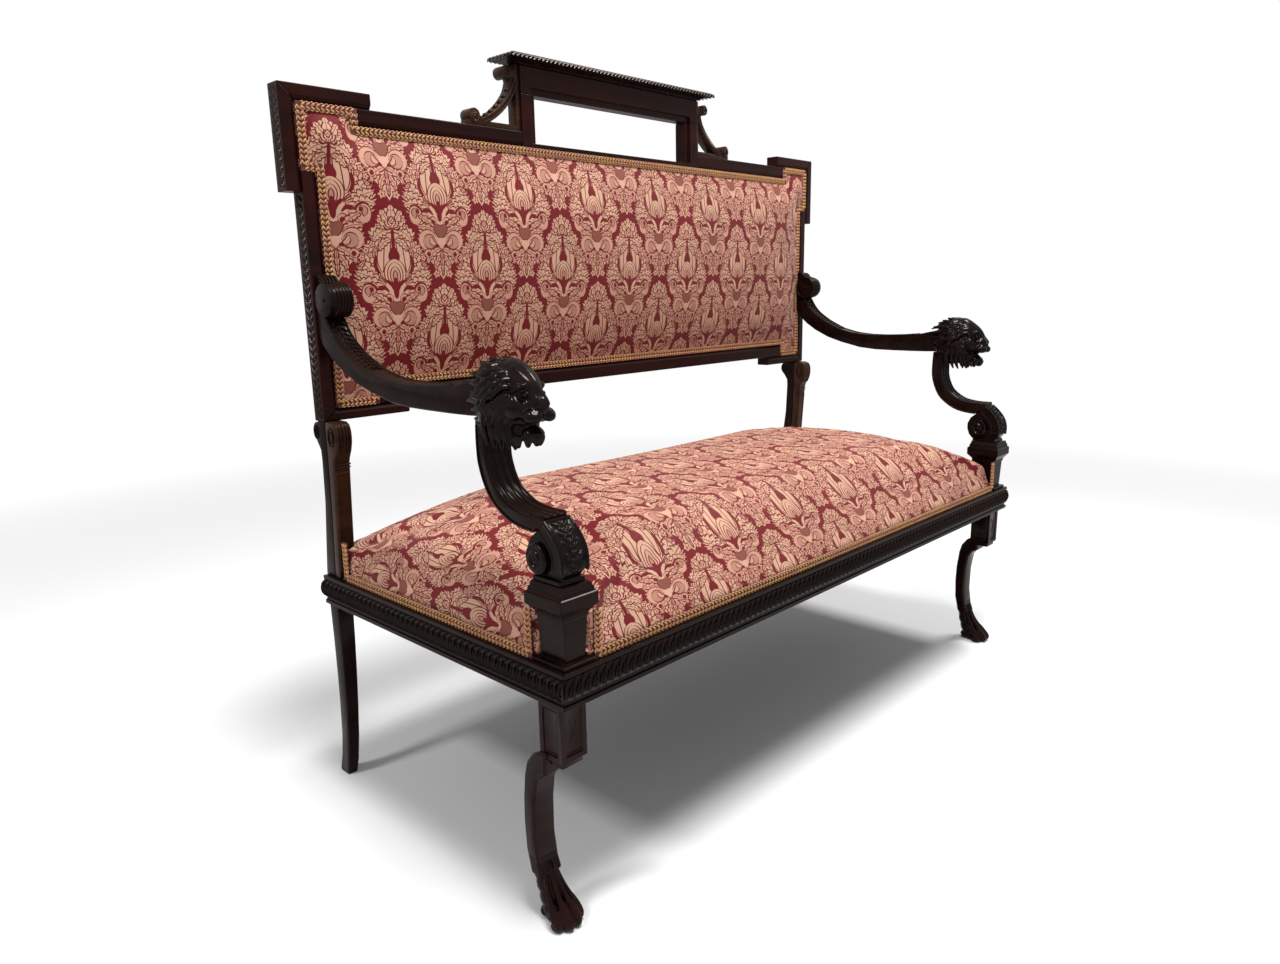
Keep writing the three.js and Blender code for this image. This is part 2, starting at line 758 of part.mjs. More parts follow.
// S-shaped support with a fluted front, swept along the S.
function armSupport() {
  const foot = scrollFoot + scrollHeight * seatStartShare[1] - supportThickness / 4;
  const rise = armSoffit - fit - foot;
  const pathShares = [
    [0, 0],
    [0.195, 0],
    [0.36, 0.012],
    [0.535, 0.045],
    [0.71, 0.13],
    [0.855, 0.245],
    [0.942, 0.4],
    [0.993, 0.56],
    [1, 0.76],
    [supportTopShare, 1],
  ];
  const path = smooth(place(pathShares, supportFoot, foot, supportReach, rise), 20);
  const flutes = 3;
  const landShare = 0.09;
  const fluteShare = (1 - landShare * (flutes + 1)) / flutes;
  const front = Array.from({ length: flutes }, (_, i) => {
    const start = landShare + i * (fluteShare + landShare) - 1 / 2;
    const rim = (x) => [x * supportWidth, supportThickness / 2];
    const floor = (x) => [x * supportWidth, supportThickness / 2 - fluteDepth];
    const [early, late] = [start + fluteShare / 4, start + (fluteShare * 3) / 4];
    return [rim(start), floor(early), floor(late), rim(start + fluteShare)];
  }).flat();
  const half = supportWidth / 2;
  const deep = supportThickness / 2;
  const section = [[-half, -deep], [-half, deep], ...front, [half, deep], [half, -deep]];
  const rings = path.map(([y, z], i) => {
    const before = path[Math.max(i - 1, 0)];
    const after = path[Math.min(i + 1, path.length - 1)];
    const along = new THREE.Vector2(after[0] - before[0], after[1] - before[1]).normalize();
    if (i === path.length - 1) along.set(0, 1);
    if (i === 0) along.set(1, 0);
    return section.map(([x, d]) => new THREE.Vector3(standX + x, y - d * along.y, z + d * along.x));
  });
  const seatShares = [seatStartShare, seatEndShare];
  const [seatStart, seatEnd] = place(seatShares, scrollFront, scrollFoot, scrollDepth, scrollHeight);
  const slope = (seatEnd[1] - seatStart[1]) / (seatEnd[0] - seatStart[0]);
  const seatZ = (y) => seatStart[1] + slope * (y - seatStart[0]) + fit + fit;
  const start = seatStart[0] - overrun;
  const end = seatEnd[0] + overrun;
  const under = [[start, seatZ(start)], [start, scrollFoot], [end, scrollFoot], [end, seatZ(end)]];
  const seatCut = sawn(under, "x", standX - supportWidth, standX + supportWidth);
  const pegTop = armSoffit + supportPegLength;
  const peg = roundBar("z", supportTopCentre, tenonRadius, armSoffit - tenonLength, pegTop, pegSides);
  addPair("arm_support", joined(cutBy(loft(rings), seatCut), peg), darkWood);
}

const supportTopShare = 0.988; // how far back the S ends, as a share of its reach
const supportTopCentre = [standX, supportFoot + supportReach * supportTopShare];

// Arm: a sawn scroll that sweeps up to a grooved roll against the stile.
const rollY = backFace - rollSetBack;
const rollZ = armSoffit + armRise;
const armTenonShare = 0.16; // height of the tenon in the arm's front end, as a share of the rise
const armTenonZ = armSoffit + (rollZ - armSoffit) * armTenonShare;

function arm() {
  const run = backFace - fit - armStart;
  const rise = rollZ - armSoffit;
  const lowerShares = [
    [0, 0.01],
    [0.055, 0.004],
    [0.155, 0],
    [0.29, 0],
    [0.4, 0.004],
    [0.509, 0.028],
    [0.648, 0.105],
    [0.75, 0.182],
    [0.845, 0.292],
    [0.918, 0.408],
    [0.973, 0.53],
    [1, 0.64],
  ];
  const upperShares = [
    [1, 1],
    [0.943, 0.86],
    [0.9, 0.675],
    [0.851, 0.56],
    [0.779, 0.444],
    [0.672, 0.32],
    [0.571, 0.257],
    [0.47, 0.232],
    [0.363, 0.226],
    [0.234, 0.24],
    [0.1, 0.275],
    [0, 0.33],
  ];
  const half = armWidth / 2;
  const outline = place([...lowerShares, ...upperShares], armStart, armSoffit, run, rise);
  const blade = sawn(outline, "x", standX - half, standX + half, arris);
  const bandShares = [-0.5, -0.21, -0.165, -0.12, 0.12, 0.165, 0.21, 0.5];
  const rim = bandShares.map((share, i) => {
    const isFloor = i === 2 || i === 5;
    return new THREE.Vector2(isFloor ? rollRadius - rollGroove : rollRadius, share * rollWidth);
  });
  const rollEnd = rollWidth / 2;
  const rollLine = [new THREE.Vector2(0, -rollEnd), ...rim, new THREE.Vector2(0, rollEnd)];
  const lathe = new THREE.LatheGeometry(rollLine, rollSides);
  lathe.rotateZ(-Math.PI / 2).translate(standX, rollY, rollZ);
  const leafShares = [
    [0, 0],
    [0.5, -0.5],
    [1, -0.5],
    [1, 1],
    [0.78, 0.98],
    [0.5, 0.86],
    [0.2, 0.68],
  ];
  const leafRun = rollSetBack - fit;
  const leafRise = rollRadius / 2 + crestLeafHeight / 2 + overrun;
  const leafOutline = place(leafShares, rollY, rollZ, leafRun, leafRise);
  const leafWidthShare = 0.8;
  const leafHalf = half * leafWidthShare;
  const leaf = sawn(leafOutline, "x", standX - leafHalf, standX + leafHalf, arris);
  const stileFace = box(standX - armWidth, standX + armWidth, backFace - fit, frameBack, armSoffit, earTop);
  const tenonEnd = armStart - tenonLength;
  const tenon = roundBar("y", [standX, armTenonZ], tenonRadius, tenonEnd, armStart + overrun, pegSides);
  const whole = cutBy(joined(blade, lathe, leaf), stileFace);
  const spots = whole.attributes.position;
  for (let i = 0; i < spots.count; i++) {
    const back = Math.max((spots.getY(i) - armStart) / run, 0);
    spots.setX(i, spots.getX(i) - armSplay * back);
  }
  addPair("arm", joined(whole, tenon), darkWood);
}

// Space kept clear of the back pad where an arm meets its stile.
function armSpace(sign) {
  const lowShare = 0.4;
  const low = armSoffit + (rollZ - armSoffit) * lowShare;
  const high = rollZ + rollRadius + crestLeafHeight;
  const [outer, inner] = [-stileHalf - overrun, standX - armSplay + rollWidth / 2 + padClearance];
  const [x0, x1] = sign < 0 ? [outer, inner] : [-inner, -outer];
  return box(x0, x1, backFace - rollRadius - backCrown, backFace, low, high);
}

// Carved forms: a ball pushed out to a smooth blend of lumps. Lumps are shares of the form's half sizes.

// Distance to a lump, in shares. A lump is its centre, then its radii.
function lumpDistance(p, [cx, cy, cz, rx, ry, rz]) {
  const near = new THREE.Vector3((p.x - cx) / rx, (p.y - cy) / ry, (p.z - cz) / rz);
  const scaled = new THREE.Vector3(near.x / rx, near.y / ry, near.z / rz);
  const length = near.length();
  return length === 0 ? -Math.min(rx, ry, rz) : (length * (length - 1)) / scaled.length();
}

function blendDown(a, b, soft) {
  const h = THREE.MathUtils.clamp((b - a) / soft / 2 + 1 / 2, 0, 1);
  return THREE.MathUtils.lerp(b, a, h) - soft * h * (1 - h);
}

function carvedBall({ lumps, hollows, soft, size, centre, around, rows, locks }) {
  const ball = new THREE.SphereGeometry(1, around, rows);
  ball.rotateX(-Math.PI / 2);
  const positions = ball.attributes.position;
  const form = (p) => {
    const full = lumps.reduce((near, lump) => blendDown(near, lumpDistance(p, lump), soft), 1);
    return hollows.reduce((near, hollow) => -blendDown(-near, lumpDistance(p, hollow), soft / 2), full);
  };
  const [farthest, nearest, stride, halvings] = [2, 0.1, 0.03, 8];
  const direction = new THREE.Vector3();
  for (let i = 0; i < positions.count; i++) {
    direction.fromBufferAttribute(positions, i).normalize();
    const at = (reach) => form(direction.clone().multiplyScalar(reach));
    let outer = farthest;
    while (outer > nearest && at(outer) > 0) outer -= stride;
    let [inside, outside] = [outer, outer + stride];
    for (let k = 0; k < halvings; k++) {
      const middle = (inside + outside) / 2;
      if (at(middle) > 0) outside = middle;
      else inside = middle;
    }
    direction.multiplyScalar(inside * (1 + locks(direction)));
    const [x, y, z] = [direction.x * size[0], direction.y * size[1], direction.z * size[2]];
    positions.setXYZ(i, centre[0] + x / 2, centre[1] + y / 2, centre[2] + z / 2);
  }
  return ball;
}

const bothSides = ([x, ...rest]) => [[x, ...rest], [-x, ...rest]];

// Lion head: mane, brow, eyes, nose ridge, muzzle, open mouth and chin, facing the front.
function lionHead() {
  const lumps = [
    [0, 0.22, 0.1, 0.93, 0.62, 0.84],
    [0, 0.66, 0.02, 0.72, 0.5, 0.6],
    [0, -0.3, 0.05, 0.58, 0.5, 0.66],
    [0, -0.22, 0.48, 0.5, 0.4, 0.38],
    ...bothSides([0.27, -0.57, 0.36, 0.2, 0.16, 0.13]),
    [0, -0.66, 0.14, 0.18, 0.28, 0.28],
    [0, -0.82, -0.12, 0.22, 0.15, 0.16],
    ...bothSides([0.19, -0.72, -0.24, 0.25, 0.23, 0.18]),
    [0, -0.52, -0.6, 0.28, 0.22, 0.2],
    [0, -0.34, -0.82, 0.22, 0.2, 0.2],
    ...bothSides([0.4, -0.36, -0.12, 0.26, 0.3, 0.34]),
    ...bothSides([0.62, -0.02, 0.46, 0.17, 0.14, 0.2]),
    [0, 0, -0.6, 0.6, 0.46, 0.32],
    [0, 0.4, -0.68, 0.6, 0.36, 0.32],
    ...bothSides([0.27, -0.68, 0.17, 0.1, 0.09, 0.07]),
  ];
  const hollows = [
    ...bothSides([0.33, -0.76, 0.22, 0.13, 0.1, 0.1]),
    [0, -0.84, -0.43, 0.34, 0.28, 0.06],
  ];
  const lockCount = 12;
  const lockDepth = 0.055;
  const maneStart = -0.2;
  const locks = (p) => {
    const inMane = THREE.MathUtils.smoothstep(p.y, maneStart, 0);
    const atBack = 1 - THREE.MathUtils.smoothstep(p.y, 1 / 2, 1);
    return inMane * atBack * lockDepth * Math.cos(lockCount * Math.atan2(p.x, p.z));
  };
  const head = carvedBall({
    lumps,
    hollows,
    soft: 0.09,
    size: [headWidth, headLength, headHeight],
    centre: [standX, headCentreY, headCentreZ],
    around: headSegments,
    rows: headRings,
    locks,
  });
  const left = standX - headWidth;
  const right = standX + headWidth;
  const supportFront = supportTopCentre[1] - supportThickness / 2 - headClearance;
  const below = box(left, right, supportFront, headCentreY + headLength, ledgeHeight, armSoffit);
  const behind = box(left, right, armStart - fit, armStart + headLength, ledgeHeight, earTop);
  const boreEnd = armStart - tenonLength - fit;
  const armBore = roundBar("y", [standX, armTenonZ], tenonRadius + fit, boreEnd, armStart, pegSides);
  const supportBore = roundBar(
    "z",
    supportTopCentre,
    tenonRadius + fit,
    armSoffit - overrun,
    armSoffit + supportPegLength + fit,
    pegSides,
  );
  addPair("lion_head", cutBy(head, below, behind, armBore, supportBore), darkWood);
}

// Front leg: panelled block, curved shank and paw, carved from one piece, with a dowel into the rail.
function frontLeg() {
  const left = legBlockInset - halfLength;
  const right = left + legBlockWidth;
  const front = legBlockSetBack;
  const back = front + legBlockDepth;
  const top = railBottom - fit;
  const bottom = top - legBlockHeight;
  const block = box(left, right, front, back, bottom, top);
  const stepBottom = bottom - legStepHeight;
  const step = box(left + legStepInset, right - legStepInset, front + legStepInset, back, stepBottom, top);
  const [low, high] = [bottom + panelMargin, top - panelMargin];
  const panels = [
    box(left - overrun, left + panelSink, front + panelMargin, back - panelMargin, low, high),
    box(right - panelSink, right + overrun, front + panelMargin, back - panelMargin, low, high),
    box(left + panelMargin, right - panelMargin, front - overrun, front + panelSink, low, high),
  ];
  // shares of the depth to the knee's back and of the height to its top, down the back, up the front
  const backShares = [
    [0.455, 1],
    [0.625, 0.992],
    [0.761, 0.963],
    [0.886, 0.904],
    [0.943, 0.829],
    [0.989, 0.688],
    [1, 0.55],
    [0.977, 0.396],
    [0.898, 0.267],
    [0.773, 0.167],
    [0.682, 0.083],
    [0.648, 0.017],
  ];
  const frontShares = [
    [0.46, 0.025],
    [0.42, 0.125],
    [0.5, 0.2],
    [0.614, 0.242],
    [0.705, 0.325],
    [0.761, 0.463],
    [0.75, 0.667],
    [0.693, 0.8],
    [0.602, 0.854],
    [0.477, 0.879],
  ];
  const shank = place([...backShares, ...frontShares], 0, 0, legDepth, legHeight).reverse();
  const start = legInset - halfLength;
  const leg = sawn(shank, "x", start, start + legWidth, arris + arris);
  const toeShares = [-0.68, -0.23, 0.23, 0.68];
  const [toeCurveShare, tendonSpreadShare, pawMiddleShare] = [0.22, 0.8, 0.33];
  const toes = toeShares.map((x) => [x, -0.5 + Math.abs(x) * toeCurveShare, -0.22, 0.27, 0.46, 0.42]);
  const tendons = toeShares.map((x) => [x * tendonSpreadShare, -0.06, 0.3, 0.15, 0.42, 0.38]);
  const paw = carvedBall({
    lumps: [[0, 0.28, -0.05, 0.76, 0.66, 0.62], [0, 0.42, 0.42, 0.6, 0.4, 0.6], ...tendons, ...toes],
    hollows: [],
    soft: 0.07,
    size: [pawWidth, pawLength, pawHeight + pawHeight],
    centre: [start + legWidth / 2, pawFront + pawLength / 2, pawHeight * pawMiddleShare],
    around: pawSegments,
    rows: pawRings,
    locks: () => 0,
  });
  const floor = box(left - legWidth, right + legWidth, -legDepth, legDepth + legDepth, -legHeight, 0);
  const dowelEnd = legDowelTop - fit;
  const dowel = roundBar("z", [legDowelX, legDowelY], dowelRadius, top - overrun, dowelEnd, pegSides);
  addPair("front_leg", cutBy(joined(block, step, leg, paw, dowel), ...panels, floor), darkWood);
}

// Rear leg: a sabre that kicks back and narrows to the floor.
function rearLeg() {
  const top = railBottom - fit;
  const front = railDepth - rearLegDepth;
  const run = rearLegDepth + rearFootKick;
  const shares = [
    [0, 1],
    [0.02, 0.8],
    [0.06, 0.62],
    [0.13, 0.42],
    [0.24, 0.22],
    [0.38, 0.08],
    [0.53, 0],
    [1, 0],
    [0.98, 0.03],
    [0.82, 0.11],
    [0.68, 0.23],
    [0.57, 0.43],
    [0.52, 0.62],
    [0.49, 0.8],
    [0.49, 1],
  ];
  const half = rearLegWidth / 2;
  const leg = sawn(place(shares, front, 0, run, top), "x", -half, half, arris);
  const spots = leg.attributes.position;
  for (let i = 0; i < spots.count; i++) {
    const up = THREE.MathUtils.clamp(spots.getZ(i) / top, 0, 1);
    spots.setX(i, spots.getX(i) * THREE.MathUtils.lerp(rearFootWidthShare, 1, up));
  }
  leg.translate(rearLegX, 0, 0);
  const dowelEnd = legDowelTop - fit;
  const dowel = roundBar("z", [rearLegX, rearLegY], dowelRadius, top - overrun, dowelEnd, pegSides);
  addPair("rear_leg", joined(leg, dowel), darkWood);
}

// Rear post above the rail, with its small scroll behind, and the leafed console in front of it.
const postTop = lowerEarBottom - fit;
const postFoot = ledgeHeight + fit;

function rearPost() {
  const height = postTop - postFoot;
  const face = backFace + postTopSetBack;
  const lean = postFootSetBack - face;
  const half = rearLegWidth / 2;
  const scrollZ = postTop - rearScrollRadius - arris;
  const faceAt = (share) => face + lean * share;
  // share of the lean and share of the height, from the top down the front face
  const faceShares = [[0, 1], [0, 0.78], [0.22, 0.49], [1, 0]];
  const [waistOut, waistUp] = faceShares[2];
  const throatUp = 0.756;
  const front = faceShares.map(([out, up]) => [faceAt(out), postFoot + up * height]);
  const back = [
    [railDepth - fit, postFoot],
    [face + postDepth, postFoot + height * waistUp],
    [face + postDepth - postTopSetBack / 2, postFoot + height * throatUp],
    [face + postDepth, postTop],
  ];
  const [left, right] = [rearLegX - half, rearLegX + half];
  const board = sawn([...front, ...back].reverse(), "x", left, right, arris);
  const scrollY = face + postDepth;
  // the taper under the scroll, in shares of the scroll's radius
  const tailShares = [[-1, -3], [0.9, -0.4], [-1, 0.8]];
  const tailOutline = place(tailShares, scrollY, scrollZ, rearScrollRadius, rearScrollRadius);
  const tail = sawn(tailOutline, "x", left, right, arris);
  const scroll = roundBar("x", [scrollY, scrollZ], rearScrollRadius, left, right, rollSides);
  const pegEnd = postFoot + overrun;
  const peg = roundBar("z", [rearLegX, rearLegY], dowelRadius, pegBottom + fit, pegEnd, pegSides);
  addPair("rear_post", joined(board, tail, scroll, peg), darkWood);

  // share of the console's depth at the top, and share of its height
  const consoleShares = [
    [0.62, 1],
    [0.88, 0.985],
    [1, 0.945],
    [1, 0.87],
    [0.86, 0.82],
    [0.66, 0.775],
    [0.56, 0.74],
    [0.56, 0.72],
  ];
  const rear = faceShares.map(([out, up]) => [faceAt(out) - fit, postFoot + up * height]);
  const noseAt = (out) => face - fit - out * consoleTopDepth;
  const nose = consoleShares.map(([out, up]) => [noseAt(out), postFoot + up * height]);
  const foot = [
    [faceAt(waistOut) - fit - consoleFootDepth, postFoot + height * waistUp],
    [faceAt(1) - fit - consoleFootDepth, postFoot],
  ];
  const outline = [...nose, ...foot, ...[...rear].reverse()];
  addPair("post_console", sawn(outline, "x", left, right, arris), warmWood);
}

// Back frame

// A frame bar's section: how far across from its outer edge, and how far behind the frame's face.
function barSection(width) {
  return [
    [0, backThickness],
    [0, arris],
    [arris, 0],
    [width - frameBevelWidth, 0],
    [width, frameBevelDepth],
    [width, backThickness],
  ];
}

// A bar of the back frame along X or Z. Its ends run square, or on a mitre towards the inner edge.
function frameBar(name, { start, end, outer, inward, width, alongX, mitres = [0, 0] }, group) {
  const endRing = (spot, mitre) =>
    barSection(width).map(([across, deep]) => {
      const along = spot + mitre * across;
      const side = outer + inward * across;
      const y = backFace + deep;
      return alongX ? new THREE.Vector3(along, y, side) : new THREE.Vector3(side, y, along);
    });
  add(name, loft([endRing(start, mitres[0]), endRing(end, mitres[1])]), redWood, group);
}

function backFrame() {
  for (const [side, group] of [["left_", leftSide], ["right_", rightSide]]) {
    frameBar(side + "stile", {
      start: lowerEarBottom + fit,
      end: earBottom + earStep - fit,
      outer: -stileHalf,
      inward: 1,
      width: stileWidth,
      mitres: [lowerEarDrop / stileWidth, 0],
    }, group);
    frameBar(side + "ear_side", {
      start: earBottom,
      end: earTop - fit,
      outer: -earHalf,
      inward: 1,
      width: stileWidth - fit,
      mitres: [0, -(earTop - topRailTop) / stileWidth],
    }, group);
    frameBar(side + "ear_top", {
      start: -earHalf + fit,
      end: -earReturn,
      outer: earTop,
      inward: -1,
      width: earTop - topRailTop,
      alongX: true,
      mitres: [stileWidth / (earTop - topRailTop), 0],
    }, group);
    frameBar(side + "top_rail", {
      start: -earReturn - stileWidth,
      end: -crestHalf - fit,
      outer: topRailTop - fit,
      inward: -1,
      width: topRailWidth - fit,
      alongX: true,
    }, group);
    frameBar(side + "lower_ear", {
      start: -stileHalf + fit,
      end: -lowerEarReturn,
      outer: lowerEarBottom,
      inward: 1,
      width: lowerEarDrop,
      alongX: true,
      mitres: [stileWidth / lowerEarDrop, 0],
    }, group);
  }
  const railEnd = stileInner - lowerEarRun;
  frameBar("bottom_rail", {
    start: -railEnd,
    end: railEnd,
    outer: bottomRailBottom + fit,
    inward: 1,
    width: bottomRailWidth - fit,
    alongX: true,
  });
}

// Crest: two posts, a head board and a thin sill round an open window, with a step round the window.
const openingHalf = crestHalf - crestPostWidth;
const crestFoot = topRailBottom;
const sillTop = crestFoot + sillHeight;

function crest() {
  const board = box(-crestHalf, crestHalf, backFace, frameBack, crestFoot, crestTop);
  const [nearY, farY] = [backFace - overrun, frameBack + overrun];
  const window = box(-openingHalf, openingHalf, nearY, farY, sillTop, openingTop);
  const step = box(
    -openingHalf - rebateWidth,
    openingHalf + rebateWidth,
    nearY,
    backFace + rebateDepth,
    sillTop,
    openingTop + rebateWidth,
  );
  const whole = cutBy(board, window, step);
  const far = crestHalf + overrun;
  const headRegion = box(-far, far, nearY, farY, openingTop + fit, crestTop + overrun);
  const postRegion = box(-far, -openingHalf, nearY, farY, crestFoot - overrun, openingTop);
  const sillEnd = openingHalf - fit;
  add("crest_head", common(whole, headRegion), redWood);
  addPair("crest_post", common(whole, postRegion), redWood);
  add("crest_sill", box(-sillEnd, sillEnd, backFace, frameBack, crestFoot, sillTop), redWood);
}

function cornice() {
  // share of the way out from the crest to the cornice's edge, and share of its height
  const profileShares = [
    [0.1, 0],
    [0.16, 0.12],
    [0.34, 0.26],
    [0.7, 0.38],
    [0.8, 0.46],
    [1, 0.52],
    [1, 0.74],
    [0.82, 1],
  ];
  const rearProud = corniceDepth - corniceProud - backThickness;
  const rings = profileShares.map(([out, up]) => {
    const half = THREE.MathUtils.lerp(crestHalf, corniceHalf, out);
    return rectangle(
      -half,
      half,
      backFace - out * corniceProud,
      frameBack + out * rearProud,
      crestTop + fit + up * corniceHeight,
    );
  });
  add("crest_cornice", loft(rings), darkWood);
}

// Pierced bracket between the top rail and the crest: two strips, a hollow curve and two rolls.
function bracket() {
  const foot = topRailTop + fit;
  const top = crestTop;
  const postSide = -crestHalf - fit;
  const height = top - foot;
  const y0 = backFace + (backThickness - bracketThickness) / 2;
  const y1 = y0 + bracketThickness;
  const across = (share) => postSide - share * bracketLength;
  const base = box(across(1), postSide, y0, y1, foot, foot + bracketStrip);
  const upright = box(postSide - bracketStrip, postSide, y0, y1, foot, top);
  const [lowRollShare, highRollShare, highRollRiseShare] = [0.895, 0.245, 0.857];
  const lowRoll = [across(lowRollShare), foot + bracketStrip / 2 + lowRollRadius];
  const highRoll = [across(highRollShare), foot + height * highRollRiseShare];
  const curveShares = [
    [0.78, 0.06],
    [0.66, 0.095],
    [0.5, 0.19],
    [0.34, 0.32],
    [0.21, 0.467],
    [0.125, 0.61],
    [0.1, 0.75],
    [0.13, 0.84],
  ];
  const line = smooth(curveShares.map(([out, up]) => [across(out), foot + up * height]), 12);
  const half = curveThickness / 2;
  const rings = line.map(([x, z], i) => {
    const before = line[Math.max(i - 1, 0)];
    const after = line[Math.min(i + 1, line.length - 1)];
    const along = new THREE.Vector2(after[0] - before[0], after[1] - before[1]).normalize();
    const edge = (sign, y) => new THREE.Vector3(x - sign * half * along.y, y, z + sign * half * along.x);
    return [edge(1, y0), edge(1, y1), edge(-1, y1), edge(-1, y0)];
  });
  const rolls = [
    roundBar("y", lowRoll, lowRollRadius, y0 - arris, y1 + arris, rollSides),
    roundBar("y", highRoll, highRollRadius, y0 - arris, y1 + arris, rollSides),
  ];
  const neck = box(highRoll[0], postSide, y0, y1, highRoll[1] - half, highRoll[1] + half);
  addPair("crest_bracket", joined(base, upright, loft(rings), ...rolls, neck), warmWood);
}

// Upholstery of the back

// The space inside the back frame, as corners in X and Z, counter-clockwise from the lower right ear.
const stepX = stileInner - lowerEarRun;
const rightCorners = [
  [stepX, bottomRailTop],
  [stepX, bottomRailBottom],
  [stileInner, bottomRailBottom],
  [stileInner, earBottom + earStep],
  [stileHalf, earBottom + earStep],
  [stileHalf, topRailTop],
  [earReturn + stileWidth, topRailTop],
  [earReturn + stileWidth, topRailBottom],
];
const panelCorners = [...rightCorners, ...[...rightCorners].reverse().map(([x, z]) => [-x, z])];

// The same corners moved in from the frame.
function panelInset(distance) {
  return panelCorners.map(([x, z], i) => {
    const before = panelCorners[(i + panelCorners.length - 1) % panelCorners.length];
    const after = panelCorners[(i + 1) % panelCorners.length];
    const intoX = -Math.sign(z - before[1]) - Math.sign(after[1] - z);
    const intoZ = Math.sign(x - before[0]) + Math.sign(after[0] - x);
    return [x + intoX * distance, z + intoZ * distance];
  });
}

function insidePanel(x, z, corners) {
  return corners.reduce((isIn, [ax, az], i) => {
    const [bx, bz] = corners[(i + 1) % corners.length];
    const crosses = az > z !== bz > z && x < ((bx - ax) * (z - az)) / (bz - az) + ax;
    return crosses ? !isIn : isIn;
  }, false);
}

function panelDistance(x, z, corners) {
  const spans = corners.map(([ax, az], i) => {
    const [bx, bz] = corners[(i + 1) % corners.length];
    const dx = Math.max(Math.min(ax, bx) - x, x - Math.max(ax, bx), 0);
    const dz = Math.max(Math.min(az, bz) - z, z - Math.max(az, bz), 0);
    return Math.max(dx, dz);
  });
  return Math.min(...spans);
}

const braidFace = backFace + borderSetBack;
const borderFace = braidFace + braidThickness + fit;
const padBack = borderFace + backPadThickness;

// Crowned back pad with ears, on a grid whose lines follow the corners of the panel.
function backPad() {
  const corners = panelInset(fit);
  const lines = (places) => {
    const edges = [...new Set(places.map((p) => Number(p.toFixed(3))))].sort((a, b) => a - b);
    return edges.flatMap((edge, i) => {
      if (i === edges.length - 1) return [edge];
      const pieces = Math.ceil((edges[i + 1] - edge) / padCell);
      return Array.from({ length: pieces }, (_, k) => edge + ((edges[i + 1] - edge) * k) / pieces);
    });
  };
  const insets = [fit, fit + borderWidth, fit + borderWidth + crownFall / 4];
  const steps = insets.flatMap((inset) => panelInset(inset));
  const xs = lines(steps.map(([x]) => x));
  const zs = lines(steps.map(([, z]) => z));
  const crownAt = (x, z) => {
    const inward = THREE.MathUtils.clamp((panelDistance(x, z, corners) - borderWidth) / crownFall, 0, 1);
    return backCrown * Math.sqrt(1 - (1 - inward) ** 2);
  };
  const isFull = (i, j) => {
    if (i < 0 || j < 0 || i >= xs.length - 1 || j >= zs.length - 1) return false;
    return insidePanel((xs[i] + xs[i + 1]) / 2, (zs[j] + zs[j + 1]) / 2, corners);
  };
  const frontPoint = (i, j) => {
    const isInside = insidePanel(xs[i], zs[j], corners);
    return new THREE.Vector3(xs[i], borderFace - (isInside ? crownAt(xs[i], zs[j]) : 0), zs[j]);
  };
  const backPoint = (i, j) => new THREE.Vector3(xs[i], padBack, zs[j]);
  const points = [];
  const quad = (a, b, c, d) => points.push(a, b, c, a, c, d);
  for (let i = 0; i < xs.length - 1; i++) {
    for (let j = 0; j < zs.length - 1; j++) {
      if (!isFull(i, j)) continue;
      quad(frontPoint(i, j), frontPoint(i + 1, j), frontPoint(i + 1, j + 1), frontPoint(i, j + 1));
      quad(backPoint(i, j), backPoint(i, j + 1), backPoint(i + 1, j + 1), backPoint(i + 1, j));
      const wall = (a, b) => quad(frontPoint(...b), frontPoint(...a), backPoint(...a), backPoint(...b));
      if (!isFull(i, j - 1)) wall([i, j], [i + 1, j]);
      if (!isFull(i, j + 1)) wall([i + 1, j + 1], [i, j + 1]);
      if (!isFull(i - 1, j)) wall([i, j + 1], [i, j]);
      if (!isFull(i + 1, j)) wall([i + 1, j], [i + 1, j + 1]);
    }
  }
  const pad = new THREE.BufferGeometry().setFromPoints(points);
  add("back_pad", cutBy(pad, armSpace(-1), armSpace(1)), damask);
}

function backBraid() {
  const outer = panelInset(fit + fit);
  const inner = panelInset(fit + fit + braidWidth);
  const rings = outer.map(([x, z], i) => [
    new THREE.Vector3(x, braidFace, z),
    new THREE.Vector3(inner[i][0], braidFace, inner[i][1]),
    new THREE.Vector3(inner[i][0], braidFace + braidThickness, inner[i][1]),
    new THREE.Vector3(x, braidFace + braidThickness, z),
  ]);
  add("back_braid", loft(rings, true), braid);
}

function backWebbing() {
  const front = padBack + fit;
  const back = front + strapThickness;
  const half = backStrapWidth / 2;
  const [low, high] = [bottomRailTop + fit, topRailBottom - fit];
  const side = stileInner - fit;
  const along = Array.from({ length: backStrapsAlong }, (_, i) => {
    const z = low + ((high - low) * (i + 1)) / (backStrapsAlong + 1);
    return box(-side, side, front, back, z - half, z + half);
  });
  const up = Array.from({ length: backStrapsUp }, (_, i) => {
    const x = -stepX + (stepX * 2 * (i + 1)) / (backStrapsUp + 1);
    return box(x - half, x + half, front, back, low, high);
  });
  add("back_webbing", joined(...along, ...up), canvas);
}

function outsideBack() {
  add("outside_back_cover", sawn(panelInset(fit), "y", frameBack - backClothThickness, frameBack), damask);
}

seatRails();
railMouldings();
seatWebbing();
dustCover();
lashedSprings();
springCanvas();
seatPad();
seatBraid();
pedestal();
scrollBlock();
armSupport();
arm();
lionHead();
frontLeg();
rearLeg();
rearPost();
backFrame();
crest();
cornice();
bracket();
backPad();
backBraid();
backWebbing();
outsideBack();

export default settee;
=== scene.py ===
import math

import bpy
import numpy as np
from mathutils import Matrix, Vector


